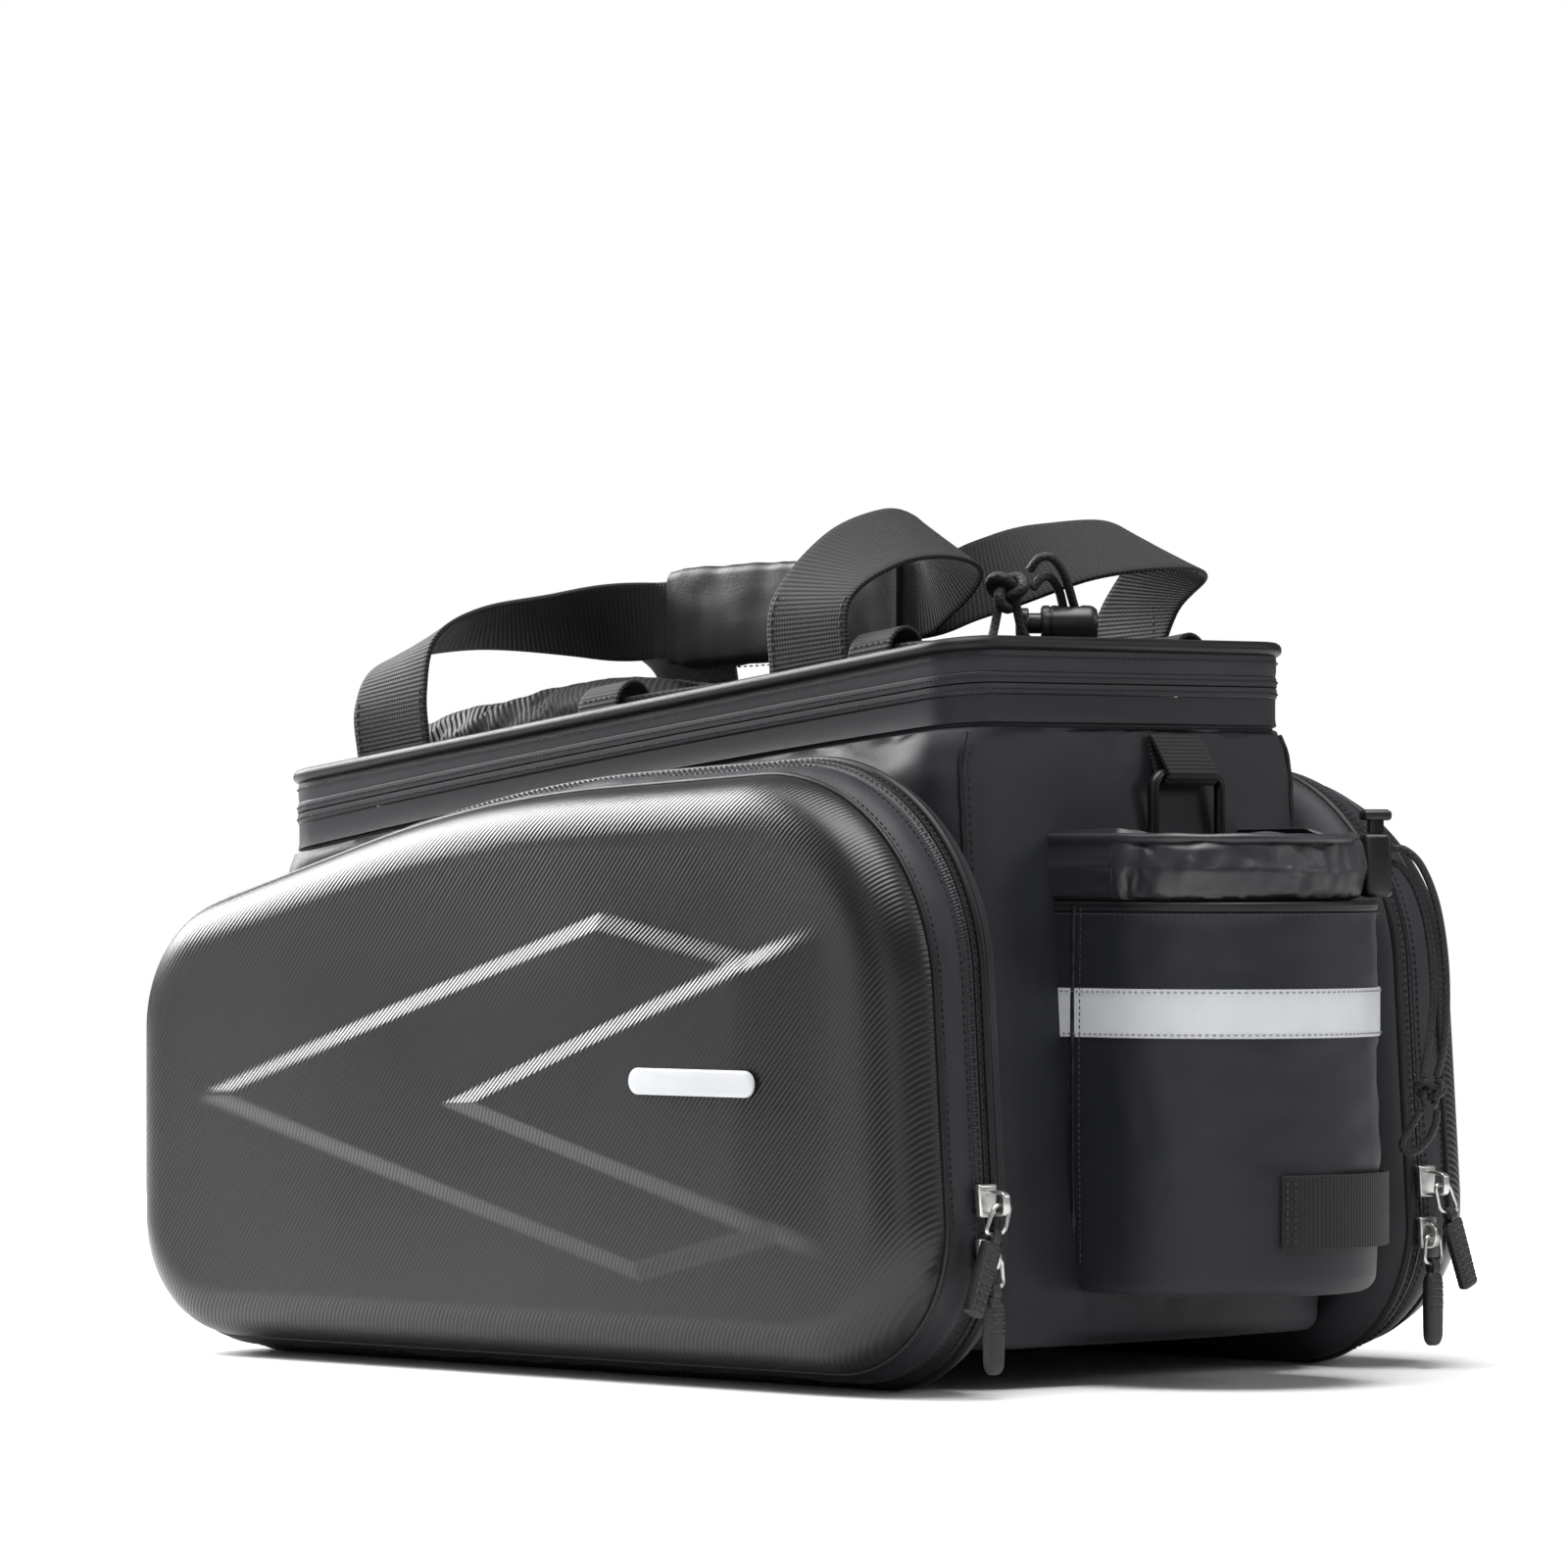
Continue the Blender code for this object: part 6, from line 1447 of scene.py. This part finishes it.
def make_pocket():
    """The bottle pocket with its side seams, its hem and the binding round its mouth."""
    full = (POCKET_RADIUS, POCKET_X, POCKET_Y)
    rings = pole_rows(pocket_ring(POCKET_BOTTOM, *full, out=-POCKET_EDGE), (0.0, 0.4, 0.75))
    for step in range(6):
        angle = math.pi / 2 * step / 5
        rings.append(pocket_ring(POCKET_BOTTOM + POCKET_EDGE * (1 - math.cos(angle)), *full,
                                 out=-POCKET_EDGE * (1 - math.sin(angle))))
    for z in np.linspace(POCKET_BOTTOM + POCKET_EDGE + 0.003, POCKET_TOP - 0.004, 48):
        share = (z - POCKET_BOTTOM) / (POCKET_TOP - POCKET_BOTTOM)
        rings.append(pocket_ring(z, *full, out=0.0011 * math.sin(math.pi * share)))
    for lift, out in ((-0.0030, 0.0002), (-0.0026, -0.0004), (-0.0022, 0.0003), (-0.0012, 0.0006),
                      (0.0, 0.0)):
        rings.append(pocket_ring(POCKET_TOP + lift, *full, out=out))
    piece = skin("bottle_holder", rings, outside=(0.215, 0.005, 0.08))
    at = points_of(piece)
    x, _, z = at.T
    front = (x > POCKET_X - 0.004) & (z > POCKET_BOTTOM + 0.008) & (z < POCKET_TOP - 0.005)
    under_strip = (z > STRIP_LOW - 0.004) & (z < STRIP_LOW + STRIP_HEIGHT + 0.004)
    calm = np.where(under_strip | (z < LOOP_LOW + LOOP_HEIGHT + 0.003), 0.25, 1.0)
    rise = 0.0008 * soft_noise(at * (1, 1, 0.7), 0.045, 61) + 0.0003 * soft_noise(at, 0.016, 62)
    swell(piece, np.where(front, rise * calm, 0))
    add_wall(piece, PANNIER_WALL)
    finish(piece, CLOTH, ["bottle_pocket"])
    hem = pocket_ring(POCKET_TOP - 0.0034, *full, out=0.0009, back=False)
    finish(stitches("pocket_hem_stitches", [(hem, outwards(hem))], 0.0022, 0.0015, 0.00028), THREAD)
    lines = []
    for place, out in (((0.190, POCKET_Y - POCKET_RADIUS), (0.0, -1.0)),
                       ((POCKET_X + 0.0232, POCKET_Y + 0.0476), (0.438, 0.899))):
        out = np.array([*out, 0.0])
        heights = np.linspace(POCKET_BOTTOM + 0.010, POCKET_TOP - 0.001, 60)
        bulge = 0.0008 * np.sin(math.pi * (heights - POCKET_BOTTOM) / (POCKET_TOP - POCKET_BOTTOM)) + 0.0003
        line = np.array([(*place, z) for z in heights]) + bulge[:, None] * out
        finish(tube(f"pocket_side_seam_{len(lines)}", line, 0.0011, 8), PIPING)
        along = np.array([-out[1], out[0], 0.0]) * (0.0034 if out[0] < 0.1 else -0.0034)
        lines.append((line + along + out * 0.0004, out))
    finish(stitches("pocket_side_stitches", lines, 0.0022, 0.0015, 0.00028), THREAD)
    bind = pocket_ring(POCKET_TOP - 0.0004, *full, out=-0.0006, back=False)
    finish(tube("pocket_binding", bind, 0.0013, 10), PIPING)


def make_collar():
    """The gathered satin collar, drawn in by its cord, with soft folds that deepen towards the rim."""
    low = POCKET_TOP + GAP
    full = (COLLAR_RADIUS, COLLAR_X, COLLAR_Y)
    rings = []
    for share in np.linspace(0, 1, 26):
        puff = np.interp(share, (0, 0.12, 0.5, 0.85, 1.0), (-0.7, 0.5, 1.0, 0.2, -0.5)) * 0.003
        z = low + (COLLAR_TOP - low) * share
        ring = pocket_ring(z, *full, out=puff, back=False, steps=240)
        place = np.linspace(0, 1, len(ring))
        fold = 0.8 * soft_noise(ring * (1, 1, 0.5), 0.030, 72)
        fold += 0.5 * soft_noise(ring * (1, 1, 0.7), 0.013, 73)
        depth = 0.0013 * eased(0.3 + share * 0.7) * np.clip(np.minimum(place, 1 - place) * 12, 0, 1)
        ring += outwards(ring) * (fold * depth)[:, None]
        ring[:, 2] += 0.0016 * share**2 * np.sin(place * TAU * 3.1 + 0.6)
        rings.append(ring)
    piece = skin("collar_cloth", rings, round_rings=False, outside=(COLLAR_X - 0.01, COLLAR_Y, 0.16))
    at = points_of(piece)
    held = (at[:, 2] < low + 0.0012) | (at[:, 0] < COLLAR_HELD_X)
    settle(piece, held, 1.5, 0.0012, frames=16, shrink=-0.03)
    at = points_of(piece)
    swell(piece, np.where(held, 0, 0.00025 * soft_noise(at * (1, 1, 0.6), 0.008, 71)))
    add_wall(piece, SATIN_WALL)
    finish(piece, SATIN, ["pocket_collar"])
    edge = pocket_ring(COLLAR_TOP - 0.0018, *full, out=0.0001, back=False, steps=240)
    finish(tube("collar_channel", edge, 0.0017, 10, wobble=0.12), SATIN)


def make_pocket_trim():
    """The reflective strip round the pocket, and the webbing loop for a tail light."""
    full = (POCKET_RADIUS, POCKET_X, POCKET_Y)
    rings = [pocket_ring(STRIP_LOW + STRIP_HEIGHT * share, *full, out=GAP + STRIP_WALL + 0.0003, back=False)
             for share in np.linspace(0, 1, 9)]
    strip = skin("reflective_band", rings, round_rings=False, outside=(0.2, 0.005, 0.11))
    add_wall(strip, STRIP_WALL)
    finish(strip, REFLECTIVE, ["pocket_reflective_strip"], angle=30)
    lines = []
    for z in (STRIP_LOW + 0.0011, STRIP_LOW + STRIP_HEIGHT - 0.0011):
        ring = pocket_ring(z, *full, out=GAP + 0.0012, back=False)
        lines.append((ring, outwards(ring)))
    finish(stitches("band_stitches", lines, 0.0024, 0.0016, 0.00032), GREY_THREAD)
    centres, normals = [], []
    for share in np.linspace(0, 1, 61):
        angle = math.radians(LOOP_FIRST + (LOOP_LAST - LOOP_FIRST) * share)
        # The loop is sewn down at both ends, and stands off between.
        slack = 0.0024 * max(0.0, math.sin(math.pi * share)) ** 0.7
        reach = POCKET_RADIUS + GAP + 0.0014 + slack
        out = np.array([math.cos(angle), math.sin(angle), 0.0])
        centres.append(np.array([POCKET_X, POCKET_Y, LOOP_LOW + LOOP_HEIGHT / 2]) + out * reach)
        normals.append(out)
    centres, normals = np.array(centres), np.array(normals)
    widths = np.tile((0, 0, LOOP_HEIGHT), (len(centres), 1))
    piece = strap("light_loop_webbing", centres, widths, 0.0016, 16)
    finish(piece, WEBBING, ["tail_light_loop"])
    upright = np.array((0, 0, 1)) * np.linspace(-0.011, 0.011, 9)[:, None]
    lines = [(centres[at] + normals[at] * 0.0010 + upright, normals[at]) for at in (1, 3, 57, 59)]
    finish(stitches("light_loop_stitches", lines, 0.0022, 0.0016, 0.00032), THREAD)


def make_drawcord():
    """The cord lock on the collar, and the cord that hangs from it to its knot and end loop."""
    angle = math.radians(LOCK_ANGLE)
    reach = COLLAR_RADIUS + 0.003 + GAP + 0.005
    x, y = COLLAR_X + reach * math.cos(angle), COLLAR_Y + reach * math.sin(angle)
    turn = Matrix.Rotation(angle, 4, "Z")
    body = block("cord_lock_body", (0.010, 0.0135, 0.022), Matrix.Identity(4), 0.0022, 5, 2)
    at = points_of(body)
    # The body narrows a little towards its top, and its front face is hollowed for a finger.
    at[:, 1] *= 1 - 0.10 * np.clip(at[:, 2] / 0.011, -0.3, 1)
    front = at[:, 0] > 0.002
    at[front, 0] -= 0.0007 * np.exp(-((at[front, 1] / 0.0035) ** 2) - ((at[front, 2] + 0.001) / 0.006) ** 2)
    set_points(body, at)
    body.data.transform(Matrix.Translation((x, y, (LOCK_LOW + LOCK_HIGH) / 2)) @ turn)
    bore = block("bore", (0.0055, 0.0075, 0.0264), Matrix.Translation((x, y, LOCK_HIGH)) @ turn, 0.0006, 2)
    cut_with(body, bore)
    finish(body, PLASTIC, ["drawcord_lock_body"], angle=32)
    cap_low = LOCK_HIGH + LOCK_SLIDE + GAP
    cap = block("cord_lock_button", (0.0098, 0.0120, 0.0035), Matrix.Identity(4), 0.0012, 4, 2)
    at = points_of(cap)
    at[:, 2] += 0.0003 * np.sin(at[:, 1] * TAU / 0.0022) * (at[:, 2] > 0.0014)
    set_points(cap, at)
    cap.data.transform(Matrix.Translation((x, y, cap_low + 0.00175)) @ turn)
    stem_low, stem_high = LOCK_HIGH - 0.0132 + LOCK_SLIDE + GAP, cap_low + 0.0012
    stem = block("stem", (0.0049, 0.0069, stem_high - stem_low),
                 Matrix.Translation((x, y, (stem_low + stem_high) / 2)) @ turn, 0.0005, 2)
    activate(cap, stem)
    bpy.ops.object.join()
    finish(cap, PLASTIC, ["drawcord_lock_plunger"], "drawcord_plunger", 32)
    for name, points in DRAWCORD_TAILS.items():
        piece = tube(f"drawcord_strand_{name}", even_route(points, 0.0009), DRAWCORD_RADIUS, 12)
        finish(piece, ELASTIC, [f"drawcord_tail_{name}"])
    knot = even_route(knot_points(DRAWCORD_KNOT, DRAWCORD_RADIUS * 1.3), 0.0005, closed=True)
    knot = tube("drawcord_overhand_knot", knot, DRAWCORD_RADIUS, 12, closed=True)
    knot = finish(knot, ELASTIC, ["drawcord_knot"])
    loop = tube("drawcord_loop", even_route(DRAWCORD_END, 0.0006), DRAWCORD_RADIUS, 12)
    loop = finish(loop, ELASTIC, ["drawcord_end_loop"])


# Ring on the rear wall

def make_ring():
    """The wire ring on the rear wall, and the webbing loop that it hangs from."""
    flat = rounded_outline([(side * RING_HALF_WIDTH, z, RING_CORNER, 10, 10)
                            for side, z in ((1, -RING_DROP), (1, 0.0), (-1, 0.0), (-1, -RING_DROP))])
    line = np.stack([np.full(len(flat), RING_X), RING_Y + flat[:, 0], RING_Z + flat[:, 1]], 1)
    finish(tube("strap_ring", line, RING_WIRE, 18, closed=True), BLACK_WIRE, ["rear_ring"], "ring")
    clear, fold, top_z = GAP + RING_LOOP_THICK / 2, 0.0018, RING_LOOP_TOP
    turn_radius = RING_WIRE + clear
    path = []
    for angle in np.radians(np.linspace(20, -180, 17)):
        path.append((RING_X + turn_radius * math.cos(angle), RING_Z + turn_radius * math.sin(angle)))
    top = rear_wall(RING_Y, top_z) + clear
    path += [(rear_wall(RING_Y, 0.200) + clear + fold / 3, 0.200), (top, top_z - fold),
             (top + fold / 3, top_z), (top + fold, top_z - fold / 3)]
    path = smooth_rows([*path, path[0]], 3)[:-1]
    centres = np.array([(x, RING_Y, z) for x, z in path])
    widths = np.tile((0, RING_LOOP_WIDTH, 0), (len(centres), 1))
    loop = strap("ring_loop_webbing", centres, widths, RING_LOOP_THICK, 14, round_path=True)
    finish(loop, WEBBING, ["ring_webbing_loop"])
    lines = []
    for z in (0.2035, 0.2010):
        x = rear_wall(RING_Y, z) + 0.0040
        lines.append(([(x, RING_Y - 0.011, z), (x, RING_Y + 0.011, z)], (1, 0, 0)))
    finish(stitches("ring_loop_stitches", lines, 0.0022, 0.0016, 0.00032), THREAD)


make_studio()
make_drawcord()
make_main_body()
make_corner_seams()
make_main_zip()
make_lid()
make_panniers()
make_shell_bar()
make_pulls()
make_handles()
make_sleeve()
make_net()
make_tabs()
make_bungee()
make_barrel_lock()
make_pocket()
make_collar()
make_pocket_trim()
make_ring()
